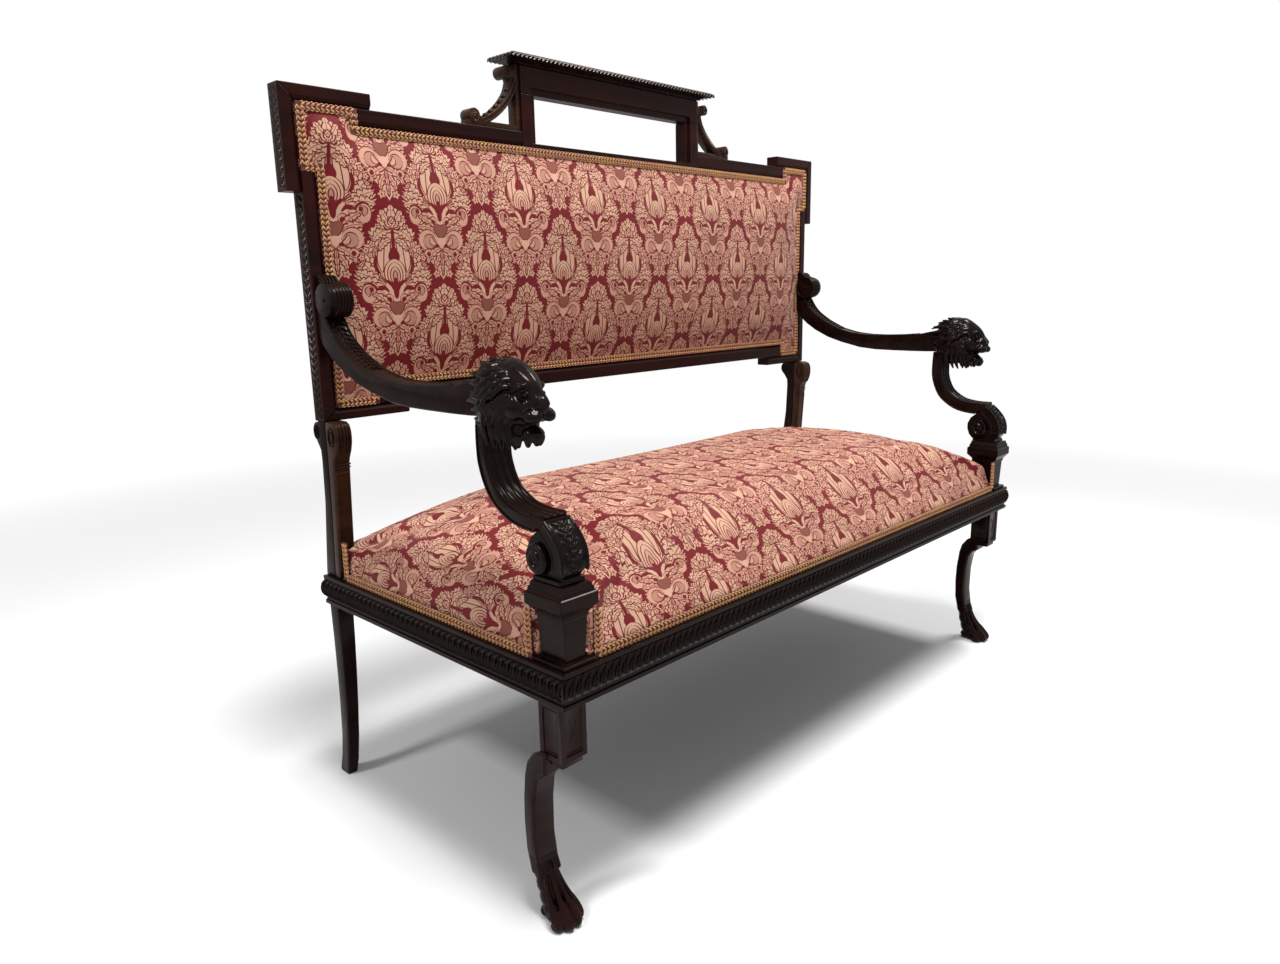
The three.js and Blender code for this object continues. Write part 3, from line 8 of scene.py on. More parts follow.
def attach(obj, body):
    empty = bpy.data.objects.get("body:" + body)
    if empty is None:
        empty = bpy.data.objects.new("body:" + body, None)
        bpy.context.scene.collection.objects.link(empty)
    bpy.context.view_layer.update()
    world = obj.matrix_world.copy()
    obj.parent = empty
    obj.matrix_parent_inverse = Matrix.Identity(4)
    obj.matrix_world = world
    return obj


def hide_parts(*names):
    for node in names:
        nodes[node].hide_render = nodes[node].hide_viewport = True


# Carved show-wood settee in crimson damask. Metres, the front faces -Y.

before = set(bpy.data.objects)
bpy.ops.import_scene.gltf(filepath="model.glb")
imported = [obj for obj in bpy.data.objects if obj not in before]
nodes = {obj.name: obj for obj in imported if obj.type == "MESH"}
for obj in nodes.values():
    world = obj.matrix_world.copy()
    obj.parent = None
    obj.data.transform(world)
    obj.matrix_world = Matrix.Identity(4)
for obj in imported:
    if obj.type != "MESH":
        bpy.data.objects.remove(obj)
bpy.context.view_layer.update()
scene = bpy.context.scene
scene.view_settings.view_transform = "Standard"
print("frame loaded:", len(nodes), "nodes")


# Small tools

def deselectAll():
    if bpy.context.object and bpy.context.object.mode != "OBJECT":
        bpy.ops.object.mode_set(mode="OBJECT")
    bpy.ops.object.select_all(action="DESELECT")


def pick(piece):
    deselectAll()
    piece.select_set(True)
    bpy.context.view_layer.objects.active = piece


def applyAll(piece):
    pick(piece)
    for modifier in list(piece.modifiers):
        bpy.ops.object.modifier_apply(modifier=modifier.name)


def joinPieces(pieces, name):
    deselectAll()
    for piece in pieces:
        piece.select_set(True)
    bpy.context.view_layer.objects.active = pieces[0]
    if len(pieces) > 1:
        bpy.ops.object.join()
    joined = bpy.context.object
    joined.name = joined.data.name = name
    return joined


def smoothShade(piece, angle=35):
    pick(piece)
    bpy.ops.object.shade_smooth_by_angle(angle=math.radians(angle))


def paint(piece, material):
    piece.data.materials.clear()
    piece.data.materials.append(material)


def dress(piece, material):
    paint(piece, material)
    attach(piece, "root")
    return piece


def mirrored(piece, name):
    other = piece.copy()
    other.data = piece.data.copy()
    other.name = other.data.name = name
    scene.collection.objects.link(other)
    other.data.transform(Matrix.Scale(-1, 4, (1, 0, 0)))
    other.data.flip_normals()
    return other


# A carved piece of the left side and its mirror on the right, each in place of its solid where it has one
def finishPair(left, name, finish, node=None):
    right = mirrored(left, "right" + name)
    for side, piece in (("left_", left), ("right_", right)):
        dress(piece, wood[finish])
        if node:
            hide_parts(side + node)


def meshObject(mesh, name):
    piece = bpy.data.objects.new(name, mesh)
    scene.collection.objects.link(piece)
    return piece


def copyOfNode(node, name):
    piece = meshObject(nodes[node].data.copy(), name)
    pick(piece)
    bpy.ops.object.mode_set(mode="EDIT")
    bpy.ops.mesh.select_all(action="SELECT")
    bpy.ops.mesh.remove_doubles(threshold=0.00002)
    bpy.ops.mesh.dissolve_limited(angle_limit=math.radians(0.6))
    bpy.ops.object.mode_set(mode="OBJECT")
    return piece


def sliceOf(node, name, low=None, high=None):
    piece = copyOfNode(node, name)
    bpy.ops.object.mode_set(mode="EDIT")
    for height, way in ((low, -1), (high, 1)):
        if height is not None:
            bpy.ops.mesh.select_all(action="SELECT")
            bpy.ops.mesh.bisect(plane_co=(0, 0, height), plane_no=(0, 0, way), use_fill=True, clear_outer=True)
    bpy.ops.object.mode_set(mode="OBJECT")
    return piece


# Shader tools

def feed(tree, socket, value):
    if isinstance(value, bpy.types.NodeSocket):
        tree.links.new(value, socket)
    else:
        socket.default_value = value


def feedAll(tree, node, values):
    for label, value in values.items():
        feed(tree, node.inputs[label], value)


def calc(tree, operation, *values, clamp=False):
    node = tree.nodes.new("ShaderNodeMath")
    node.operation = operation
    node.use_clamp = clamp
    for socket, value in zip(node.inputs, values):
        feed(tree, socket, value)
    return node.outputs[0]


def operation(name):
    return lambda tree, *values, clamp=False: calc(tree, name, *values, clamp=clamp)


plus, minus, times = operation("ADD"), operation("SUBTRACT"), operation("MULTIPLY")
over, timesPlus = operation("DIVIDE"), operation("MULTIPLY_ADD")


def blendColours(tree, share, first, second):
    node = tree.nodes.new("ShaderNodeMix")
    node.data_type = "RGBA"
    for socket, value in zip((node.inputs[0], node.inputs[6], node.inputs[7]), (share, first, second)):
        feed(tree, socket, value)
    return node.outputs[2]


def spread(tree, value, low, high, start=0.0, end=1.0):
    node = tree.nodes.new("ShaderNodeMapRange")
    for socket, number in zip(node.inputs, (value, low, high, start, end)):
        feed(tree, socket, number)
    return node.outputs[0]


def parted(tree, place):
    split = tree.nodes.new("ShaderNodeSeparateXYZ")
    tree.links.new(place, split.inputs[0])
    return split.outputs


def scaled(tree, place, factor):
    node = tree.nodes.new("ShaderNodeVectorMath")
    node.operation = "SCALE"
    feed(tree, node.inputs[0], place)
    feed(tree, node.inputs["Scale"], factor)
    return node.outputs[0]


def objectPlace(tree, stretch=(1, 1, 1), turn=(0, 0, 0)):
    place = tree.nodes.new("ShaderNodeTexCoord")
    mapping = tree.nodes.new("ShaderNodeMapping")
    mapping.inputs["Scale"].default_value = stretch
    mapping.inputs["Rotation"].default_value = turn
    tree.links.new(place.outputs["Object"], mapping.inputs[0])
    return mapping.outputs[0]


def noise(tree, place, scale, detail=3.0, roughness=0.55):
    node = tree.nodes.new("ShaderNodeTexNoise")
    feedAll(tree, node, {"Vector": place, "Scale": scale, "Detail": detail, "Roughness": roughness})
    return node.outputs[0]


def bump(tree, height, strength, distance):
    node = tree.nodes.new("ShaderNodeBump")
    feedAll(tree, node, {"Strength": strength, "Distance": distance, "Height": height})
    return node.outputs[0]


def newGroup(name, inputs, outputs):
    tree = bpy.data.node_groups.new(name, "ShaderNodeTree")
    kinds = {"v": "NodeSocketVector", "f": "NodeSocketFloat", "c": "NodeSocketColor"}
    for sockets, way in ((inputs, "INPUT"), (outputs, "OUTPUT")):
        for label, kind in sockets:
            tree.interface.new_socket(label, in_out=way, socket_type=kinds[kind])
    start = tree.nodes.new("NodeGroupInput")
    end = tree.nodes.new("NodeGroupOutput")
    return tree, start.outputs, end.inputs


def useGroup(tree, group, **values):
    node = tree.nodes.new("ShaderNodeGroup")
    node.node_tree = group
    feedAll(tree, node, values)
    return node.outputs


def newMaterial(name):
    material = bpy.data.materials.new(name)
    material.use_nodes = True
    return material, material.node_tree, material.node_tree.nodes["Principled BSDF"]


# Camera, at the photograph's place

cameraLook = {
    "place": (-1.26297, -1.02528, 0.79193),
    "yaw": 46.174,
    "pitch": 12.418,
    "roll": -1.053,
    "lens": 25.163,
}


def makeCamera(look):
    yaw, pitch, roll = (math.radians(look[key]) for key in ("yaw", "pitch", "roll"))
    forward = Vector((math.sin(yaw) * math.cos(pitch), math.cos(yaw) * math.cos(pitch), -math.sin(pitch)))
    level = forward.cross(Vector((0, 0, 1))).normalized()
    above = level.cross(forward)
    right = level * math.cos(roll) + above * math.sin(roll)
    up = above * math.cos(roll) - level * math.sin(roll)
    camera = bpy.data.objects.new("camera", bpy.data.cameras.new("camera"))
    scene.collection.objects.link(camera)
    camera.data.lens = look["lens"]
    camera.data.sensor_width = 36
    turned = Matrix((right, up, -forward)).transposed().to_4x4()
    camera.matrix_world = Matrix.Translation(Vector(look["place"])) @ turned
    scene.camera = camera


makeCamera(cameraLook)

# Studio: pale floor that fades to white, soft lamps above, to the left and to the right

studio = {
    "floorSize": 14,
    "floorColour": (0.86, 0.86, 0.86, 1),
    "fadeStart": 1.5,
    "fadeEnd": 3.2,
    "worldStrength": 0.31,
    "lamps": [
        {"name": "overheadLamp", "place": (-0.6, -0.9, 3.4), "aim": (0, 0, 0.4), "size": 0.85, "power": 104},
        {"name": "leftLamp", "place": (-2.4, 0.25, 2.7), "aim": (-0.5, 0, 0.5), "size": 0.4, "power": 30},
        {"name": "rightLamp", "place": (1.35, -0.35, 3.0), "aim": (-0.1, -0.1, 0.7), "size": 0.7, "power": 62},
    ],
}


def makeStudio(look):
    bpy.ops.mesh.primitive_plane_add(size=look["floorSize"])
    floor = bpy.context.object
    floor.name = "floor"
    material, tree, shader = newMaterial("paleFloor")
    feedAll(tree, shader, {"Base Color": look["floorColour"], "Roughness": 0.9, "Specular IOR Level": 0.1})
    light = tree.nodes.new("ShaderNodeEmission")
    path = tree.nodes.new("ShaderNodeLightPath")
    apart = tree.nodes.new("ShaderNodeVectorMath")
    apart.operation = "LENGTH"
    tree.links.new(objectPlace(tree), apart.inputs[0])
    far = spread(tree, apart.outputs["Value"], look["fadeStart"], look["fadeEnd"])
    seen = times(tree, far, path.outputs["Is Camera Ray"])
    mix = tree.nodes.new("ShaderNodeMixShader")
    output = tree.nodes["Material Output"]
    for socket, value in zip(mix.inputs, (seen, shader.outputs[0], light.outputs[0])):
        tree.links.new(value, socket)
    tree.links.new(mix.outputs[0], output.inputs["Surface"])
    floor.data.materials.append(material)
    world = bpy.data.worlds.new("studioWorld")
    scene.world = world
    world.use_nodes = True
    sky = world.node_tree
    background = sky.nodes["Background"]
    path = sky.nodes.new("ShaderNodeLightPath")
    clear = calc(sky, "MAXIMUM", path.outputs["Is Glossy Ray"], path.outputs["Is Transmission Ray"])
    clear = calc(sky, "MAXIMUM", clear, path.outputs["Is Camera Ray"])
    strength = spread(sky, clear, 0, 1, look["worldStrength"], 1)
    sky.links.new(strength, background.inputs["Strength"])
    background.inputs["Color"].default_value = (1, 1, 1, 1)
    for lamp in look["lamps"]:
        data = bpy.data.lights.new(lamp["name"], "AREA")
        data.size = lamp["size"]
        data.energy = lamp["power"]
        piece = bpy.data.objects.new(lamp["name"], data)
        scene.collection.objects.link(piece)
        piece.location = lamp["place"]
        aim = Vector(lamp["aim"]) - piece.location
        piece.rotation_euler = aim.to_track_quat("-Z", "Y").to_euler()


makeStudio(studio)
print("camera and studio ready")

# Wood: a grain group stretched along the board, used by every timber

# base colour, figure colour, roughness from and to, gloss, coat, coat roughness
woods = {
    "darkWood": ((0.0042, 0.0019, 0.0016, 1), (0.016, 0.0062, 0.0042, 1), (0.2, 0.34), 0.04, 0.08, 0.1),
    "redWood": ((0.0075, 0.0019, 0.0017, 1), (0.027, 0.005, 0.004, 1), (0.24, 0.38), 0.06, 0.05, 0.14),
    # the next finish's pale figure colour is painted highlight: glints painted into the colour of the cornice leaves
    "rubbedWood": ((0.03, 0.022, 0.019, 1), (0.3, 0.26, 0.235, 1), (0.16, 0.26), 0.2, 0.4, 0.1),
    "legWood": ((0.0042, 0.0014, 0.0013, 1), (0.019, 0.0042, 0.0034, 1), (0.16, 0.26), 0.03, 0.12, 0.09),
    "warmWood": ((0.011, 0.0042, 0.0023, 1), (0.06, 0.022, 0.0085, 1), (0.3, 0.45), 0.12, 0.05, 0.18),
    "blackPolish": ((0.0032, 0.0016, 0.0015, 1), (0.011, 0.0044, 0.0034, 1), (0.13, 0.2), 0.02, 0.15, 0.09),
    "frameWood": ((0.3, 0.19, 0.105, 1), (0.44, 0.31, 0.19, 1), (0.6, 0.75), 0.4, 0.0, 0.3),
}
grainTurns = {"X": (0, 0, 0), "Y": (0, 0, math.radians(90)), "Z": (0, math.radians(90), 0)}


def makeGrainGroup():
    group, given, out = newGroup("timberGrain", [("Place", "v")], [("Figure", "f"), ("Pores", "f"), ("Cloud", "f")])
    waves = noise(group, given["Place"], 34.0, 4.0)
    fine = noise(group, given["Place"], 210.0, 2.0)
    figure = plus(group, times(group, waves, 0.75), times(group, fine, 0.25))
    group.links.new(spread(group, figure, 0.36, 0.66), out["Figure"])
    group.links.new(spread(group, noise(group, given["Place"], 520.0, 1.0), 0.5, 0.75), out["Pores"])
    group.links.new(noise(group, given["Place"], 9.0, 3.0), out["Cloud"])
    return group


grainGroup = makeGrainGroup()


def makeWood(name, axis):
    base, figure, (low, high), gloss, coat, coatRoughness = woods[name]
    material, tree, shader = newMaterial(name + axis)
    place = objectPlace(tree, (0.09, 1, 1), grainTurns[axis])
    grain = useGroup(tree, grainGroup, Place=place)
    share = times(tree, grain["Figure"], spread(tree, grain["Cloud"], 0.3, 0.7, 0.35, 1.0))
    height = plus(tree, grain["Pores"], times(tree, grain["Figure"], 0.5))
    feedAll(tree, shader, {
        "Base Color": blendColours(tree, share, base, figure),
        "Roughness": spread(tree, grain["Cloud"], 0.3, 0.7, low, high),
        "Specular IOR Level": gloss,
        "Specular Tint": (1, 0.72, 0.6, 1),
        "Coat Weight": coat,
        "Coat Roughness": coatRoughness,
        "Normal": bump(tree, height, 0.12, 0.0004),
    })
    return material


wood = {name + axis: makeWood(name, axis) for name in woods for axis in "XYZ"}

# Boards that keep their CAD shape get eased edges and a wood whose grain follows the board

boards = {
    "easedEdge": 0.0011,
    "finish": {
        "darkWoodX": ["front_rail_moulding", "crest_cornice"],
        "darkWoodY": ["left_rail_moulding", "right_rail_moulding"],
        "darkWoodZ": ["left_arm_pedestal", "right_arm_pedestal"],
        "redWoodX": [
            "rear_seat_rail", "bottom_rail", "crest_sill", "crest_head",
            "left_ear_top", "right_ear_top", "left_lower_ear", "right_lower_ear", "left_top_rail", "right_top_rail",
        ],
        "redWoodZ": [
            side + part for side in ("left_", "right_") for part in ("stile", "ear_side", "crest_post")
        ],
        "frameWoodX": ["front_seat_rail", "left_corner_block", "right_corner_block"],
        "frameWoodY": ["left_seat_rail", "right_seat_rail", "centre_cross_rail"],
    },
}


def easeEdges(piece, width):
    ease = piece.modifiers.new("ease", "BEVEL")
    ease.width = width
    ease.segments = 2
    ease.limit_method = "ANGLE"
    ease.angle_limit = math.radians(38)


def clearFlats(piece):
    weld = piece.modifiers.new("weld", "WELD")
    weld.merge_threshold = 0.00002
    planar = piece.modifiers.new("planar", "DECIMATE")
    planar.decimate_type = "DISSOLVE"
    planar.angle_limit = math.radians(1)


for finish, members in boards["finish"].items():
    for member in members:
        paint(nodes[member], wood[finish])
        clearFlats(nodes[member])
        easeEdges(nodes[member], boards["easedEdge"])
print("boards finished:", sum(len(members) for members in boards["finish"].values()))

# Sawn and swept pieces: copies of the solids with eased arrises and smooth shading along their curves

curved = {
    "easedEdge": 0.0013,
    "shadeAngle": 33,
    "ankle": 0.08,
    "pieces": [
        ("arm", "Arm", "darkWoodY", "dark_wood"),
        ("arm_support", "ArmSupport", "darkWoodZ", "dark_wood"),
        ("front_leg", "FrontLeg", "legWoodZ", "dark_wood"),
        ("rear_leg", "RearLeg", "darkWoodZ", "dark_wood"),
        ("rear_post", "RearPost", "darkWoodZ", "dark_wood"),
        ("post_console", "PostConsole", "warmWoodZ", "warm_wood"),
        ("crest_bracket", "CrestBracket", "warmWoodZ", "warm_wood"),
    ],
}


def refine(node, name, finish):
    piece = sliceOf(node, name, low=curved["ankle"] if "front_leg" in node else None)
    easeEdges(piece, curved["easedEdge"])
    applyAll(piece)
    smoothShade(piece, curved["shadeAngle"])
    dress(piece, wood[finish])
    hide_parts(node)


for part, name, finish, slot in curved["pieces"]:
    for side in ("left", "right"):
        refine(side + "_" + part, side + name, finish)

# Damask: a lobed crown of leaves, palmettes and flowers in millimetres of the cloth, drawn one over another

damask = {
    "repeatAcross": 169.0,
    "repeatUp": 232.0,
    "outline": 1.65,
    "edge": 0.5,
    "ribPitch": 0.9,
    "threadPitch": 0.7,
    "colours": [
        (0.0, (0.135, 0.0052, 0.0088, 1)),
        (0.42, (0.2, 0.062, 0.045, 1)),
        (0.84, (0.5, 0.265, 0.185, 1)),
        (1.0, (0.53, 0.318, 0.215, 1)),
    ],
    # depth below the tip, half width
    "body": [
        (0, 0), (4, 7), (9, 15), (15, 21), (22, 24), (27, 24), (31, 27), (36, 35), (43, 38),
        (49, 33), (54, 40), (60, 47), (68, 52), (80, 53), (92, 58), (104, 62), (116, 61), (124, 57),
        (132, 53), (140, 50), (144, 41), (150, 38), (158, 40), (168, 41), (176, 37), (183, 31), (190, 27),
        (200, 20), (206, 15), (210, 12), (216, 8), (222, 3), (226, 0), (232, 0),
    ],
    "bodyLobe": 7.0,
    # from the axis, up from the tip, angle, length, half width, lobes, bend, fullness, tone
    "leaves": [
        (14, -112, 92, 42, 10, 5, -5, 0.6, 1.0), (16, -114, 70, 50, 10, 5, -4, 0.6, 1.0),
        (18, -116, 48, 50, 10, 5, -2, 0.6, 1.0), (18, -118, 26, 47, 10, 5, 2, 0.6, 1.0),
        (18, -119, 4, 44, 9, 5, 5, 0.6, 1.0), (17, -120, -18, 38, 8, 4, 6, 0.6, 1.0),
        (17, -104, 99, 58, 11, 1, -6, 0.6, 1.0), (20, -98, 96, 44, 4.6, 1, -4, 0.7, 1.0),
        (3, -50, -40, 26, 6, 4, 4, 0.7, 1.0), (2, -36, -30, 34, 8, 5, 5, 0.6, 1.0),
        (3, -33, 6, 21, 6.6, 3, 2, 0.5, 1.0), (2, -34, 32, 25, 6.6, 3, 1, 0.5, 1.0),
        (1, -34, 58, 31, 7.2, 3, 1, 0.5, 1.0), (0, -34, 90, 35, 7.6, 3, 0, 0.5, 1.0),
        (0, -72, 90, 36, 1.5, 1, 0, 0.4, 0.0), (0, -92, 90, 34, 8, 1, 0, 1.8, 0.0),
        (0, -121, 90, 42, 17, 1, 0, 0.55, 1.0), (0, -119, 90, 35, 12, 1, 0, 0.55, 1.0),
        (0, -116, 90, 26, 7.6, 1, 0, 0.6, 0.84), (0, -112, 90, 16, 3.2, 1, 0, 0.7, 0.68),
        (0, -137, 90, 30, 3.4, 1, 0, 0.5, 0.0), (4, -124, 48, 18, 1.5, 1, 3, 0.5, 0.0),
        (12, -127, 8, 20, 1.6, 1, 5, 0.5, 0.0), (36, -122, -62, 20, 1.8, 1, -4, 0.5, 0.0),
        (26, -100, 84, 26, 1.5, 1, -3, 0.5, 0.0), (30, -124, 20, 22, 1.4, 1, 4, 0.5, 0.0),
        (16, -148, 66, 14, 1.4, 1, 2, 0.5, 0.0), (56, -90, 130, 14, 3.4, 2, 2, 0.6, 0.84),
        (60, -86, 96, 13, 3.0, 2, 1, 0.6, 0.84), (44, -116, -92, 27, 11, 1, -1, 0.5, 0.84),
        (39, -119, -70, 15, 4.2, 1, 3, 0.5, 0.66), (37, -122, -40, 5, 2.4, 1, 0, 0.5, 0.0),
        (6, -135, -20, 15, 6.5, 1, 0, 0.5, 0.84), (9, -138, -20, 8, 3.0, 1, 0, 0.5, 0.0),
        (21, -128, -30, 14, 5.2, 1, 2, 0.5, 0.84), (24, -131, -30, 7, 2.0, 1, 0, 0.5, 0.0),
        (10, -152, 38, 36, 6, 4, 4, 0.6, 0.84), (9, -154, 12, 33, 6, 4, 4, 0.6, 0.84),
        (0, -161, 62, 21, 7.2, 1, 2, 0.5, 0.42), (9, -166, 0, 31, 15.5, 1, 0, 0.5, 0.84),
        (11, -168, 0, 21, 10.5, 1, 0, 0.5, 0.68), (9, -173, 50, 15, 3.6, 1, -3, 0.5, 0.84),
        (6, -181, 70, 10, 2.6, 1, 0, 0.5, 0.0), (2, -178, -40, 33, 6.5, 4, 4, 0.6, 0.84),
        (18, -186, 0, 13, 6.2, 1, 0, 0.5, 0.84), (21, -187, 0, 6, 2.6, 1, 0, 0.5, 0.0),
        (1, -188, -62, 26, 5.5, 3, 3, 0.6, 0.84), (0, -180, -90, 40, 3.4, 4, 0, 0.6, 0.84),
    ],
    "flowers": [
        (0, -22, 4.6), (33, -57, 5.0), (43, -66, 5.4), (50, -77, 5.2), (37, -73, 4.4), (29, -66, 3.4), (12, -217, 6.6),
    ],
}


def drawOver(tree, value, reach, tone, look):
    inner = over(tree, reach, look["edge"], clamp=True)
    outer = over(tree, plus(tree, reach, look["outline"]), look["edge"], clamp=True)
    kept = times(tree, value, minus(tree, 1.0, outer))
    return timesPlus(tree, inner, tone, kept)


# Each shape waits for the one below it, which keeps the shader's working memory small
def fromRoot(tree, given):
    wait = times(tree, given["Value"], 1e-6)
    dx = minus(tree, plus(tree, given["Across"], wait), given["FromAxis"])
    dz = minus(tree, plus(tree, given["Up"], wait), given["FromTip"])
    return dx, dz


def makeLeafGroup(look):
    labels = ["Across", "Up", "Value", "FromAxis", "FromTip", "Cos", "Sin"]
    labels += ["Length", "Width", "Lobes", "Bend", "Fullness", "Tone"]
    tree, given, out = newGroup("damaskLeaf", [(label, "f") for label in labels], [("Value", "f")])
    dx, dz = fromRoot(tree, given)
    run = timesPlus(tree, dx, given["Cos"], times(tree, dz, given["Sin"]))
    share = over(tree, run, given["Length"])
    along = plus(tree, share, 0.0, clamp=True)
    beyond = times(tree, calc(tree, "ABSOLUTE", minus(tree, share, along)), given["Length"])
    rise = times(tree, times(tree, along, 4.0), minus(tree, 1.0, along))
    side = minus(tree, times(tree, dz, given["Cos"]), times(tree, dx, given["Sin"]))
    aside = calc(tree, "ABSOLUTE", minus(tree, side, times(tree, given["Bend"], rise)))
    share = over(tree, aside, given["Width"])
    notch = calc(tree, "FRACT", timesPlus(tree, along, given["Lobes"], times(tree, share, -0.55)))
    toothed = calc(tree, "MINIMUM", minus(tree, given["Lobes"], 1.0), 0.42)
    swell = calc(tree, "POWER", rise, given["Fullness"])
    bitten = minus(tree, 1.0, times(tree, notch, toothed))
    half = times(tree, times(tree, given["Width"], swell), bitten)
    reach = minus(tree, minus(tree, half, aside), beyond)
    rib = calc(tree, "LESS_THAN", aside, 0.55)
    vein = times(tree, calc(tree, "LESS_THAN", notch, 0.17), calc(tree, "GREATER_THAN", share, 0.28))
    veined = times(tree, calc(tree, "GREATER_THAN", given["Lobes"], 1.5), -0.8)
    lined = timesPlus(tree, calc(tree, "MAXIMUM", rib, vein), veined, 1.0)
    tone = times(tree, given["Tone"], lined)
    tree.links.new(drawOver(tree, given["Value"], reach, tone, look), out["Value"])
    return tree


def makeFlowerGroup(look):
    labels = ["Across", "Up", "Value", "FromAxis", "FromTip", "Radius"]
    tree, given, out = newGroup("damaskFlower", [(label, "f") for label in labels], [("Value", "f")])
    dx, dz = fromRoot(tree, given)
    away = calc(tree, "SQRT", timesPlus(tree, dx, dx, times(tree, dz, dz)))
    petals = calc(tree, "COSINE", times(tree, calc(tree, "ARCTAN2", dz, dx), 5.0))
    rim = times(tree, given["Radius"], timesPlus(tree, petals, 0.2, 0.8))
    reach = minus(tree, rim, away)
    heart = calc(tree, "LESS_THAN", over(tree, away, given["Radius"]), 0.24)
    tone = timesPlus(tree, heart, -0.7, 0.84)
    tree.links.new(drawOver(tree, given["Value"], reach, tone, look), out["Value"])
    return tree


def makeMotifGroup(look):
    leaf, flower = makeLeafGroup(look), makeFlowerGroup(look)
    tree, given, out = newGroup("damaskMotif", [("Across", "f"), ("Up", "f")], [("Value", "f")])
    half = look["repeatAcross"] / 2
    across = calc(tree, "ABSOLUTE", calc(tree, "WRAP", given["Across"], -half, half))
    up = calc(tree, "WRAP", given["Up"], -look["repeatUp"], 0.0)
    deep = times(tree, up, -1.0)
    form = tree.nodes.new("ShaderNodeFloatCurve")
    points = form.mapping.curves[0].points
    widest = max(width for depth, width in look["body"])
    places = [(depth / look["repeatUp"], width / widest) for depth, width in look["body"]]
    points[0].location, points[-1].location = places[0], places[-1]
    for place in places[1:-1]:
        points.new(*place)
    for point in points:
        point.handle_type = "VECTOR"
    form.mapping.update()
    feed(tree, form.inputs["Value"], over(tree, deep, look["repeatUp"]))
    notch = calc(tree, "FRACT", timesPlus(tree, across, 0.04, over(tree, deep, look["bodyLobe"])))
    lobed = timesPlus(tree, notch, -0.17, 1.05)
    edge = times(tree, times(tree, form.outputs[0], widest), lobed)
    value = over(tree, minus(tree, edge, across), look["edge"], clamp=True)
    for fromAxis, fromTip, angle, length, width, lobes, bend, fullness, tone in look["leaves"]:
        turn = math.radians(angle)
        value = useGroup(
            tree, leaf, Across=across, Up=up, Value=value, FromAxis=fromAxis, FromTip=fromTip,
            Cos=math.cos(turn), Sin=math.sin(turn), Length=length, Width=width,
            Lobes=lobes, Bend=bend, Fullness=fullness, Tone=tone,
        )["Value"]
    for fromAxis, fromTip, radius in look["flowers"]:
        value = useGroup(
            tree, flower, Across=across, Up=up, Value=value, FromAxis=fromAxis, FromTip=fromTip, Radius=radius,
        )["Value"]
    tree.links.new(value, out["Value"])
    return tree


def makeDamaskGroup(look):
    motif = makeMotifGroup(look)
    tree, given, out = newGroup("damaskDraw", [("Place", "v")], [("Value", "f")])
    across, up, _ = parted(tree, given["Place"])
    first = useGroup(tree, motif, Across=across, Up=up)["Value"]
    wait = times(tree, first, 1e-6)
    across = plus(tree, plus(tree, across, look["repeatAcross"] / 2), wait)
    up = plus(tree, plus(tree, up, look["repeatUp"] / 2), wait)
    second = useGroup(tree, motif, Across=across, Up=up)["Value"]
    tree.links.new(calc(tree, "MAXIMUM", first, second), out["Value"])
    return tree


def makeDamask(look):
    material, tree, shader = newMaterial("crimsonDamask")
    cloth = tree.nodes.new("ShaderNodeUVMap")
    cloth.uv_map = "cloth"
    place = scaled(tree, cloth.outputs[0], 1000)
    draw = useGroup(tree, makeDamaskGroup(look), Place=place)["Value"]
    ramp = tree.nodes.new("ShaderNodeValToRGB")
    stops = ramp.color_ramp.elements
    stops[0].color, stops[1].color = look["colours"][0][1], look["colours"][-1][1]
    for position, colour in look["colours"][1:-1]:
        stops.new(position).color = colour
    tree.links.new(draw, ramp.inputs[0])
    patch = noise(tree, cloth.outputs[0], 9.0, 3.0)
    thread = noise(tree, cloth.outputs[0], 900.0, 1.0)
    soiled, spun = spread(tree, patch, 0.3, 0.7, 0.86, 1.06), spread(tree, thread, 0.3, 0.7, 0.8, 1.12)
    across, up, _ = parted(tree, place)
    ribs = calc(tree, "SINE", times(tree, up, math.tau / look["ribPitch"]))
    threads = calc(tree, "SINE", times(tree, across, math.tau / look["threadPitch"]))
    feedAll(tree, shader, {
        "Base Color": scaled(tree, ramp.outputs[0], times(tree, soiled, spun)),
        "Roughness": spread(tree, draw, 0, 1, 0.55, 0.8),
        "Sheen Weight": 0.05,
        "Specular IOR Level": 0.12,
        "Normal": bump(tree, timesPlus(tree, ribs, 0.6, threads), 0.25, 0.0002),
    })
    return material


damaskCloth = makeDamask(damask)

# Upholstery: pads blown up as cloth inside their frames, with the damask laid on through their own UV map

pads = {
    "seat": {
        "voxel": 0.006,
        "shrink": 0.006,
        "heldBelow": 0.366,
        "cornerSide": 0.6,
        "cornerEnds": (-0.215, 0.19),
        "cornerHeight": 0.404,
        "topLimit": 0.4725,
        "shoulder": 0.43,
        "chamber": ((-0.566, -0.226, 0.34), (0.566, 0.203, 0.408)),
        "pressure": 4.0,
        "frames": 20,
        "cap": 0.022,
        "offset": (0.0, 0.021),
    },
    "back": {
        "voxel": 0.006,
        "shrink": 0.005,
        "heldBehind": 0.2295,
        "pressure": 4.0,
        "frames": 20,
        "cap": 0.022,
        "offset": (0.0, -0.9158),
    },
}


def readAll(items, label, width=3, kind=float):
    values = np.empty(len(items) * width, dtype=kind)
    items.foreach_get(label, values)
    return values.reshape(-1, width) if width > 1 else values


def coordinatesOf(mesh):
    return readAll(mesh.vertices, "co")


def placeAll(mesh, spots):
    mesh.vertices.foreach_set("co", np.ascontiguousarray(spots).ravel())
    mesh.update()


def markVertices(piece, name, chosen):
    piece.vertex_groups.new(name=name).add([int(i) for i in np.flatnonzero(chosen)], 1.0, "REPLACE")


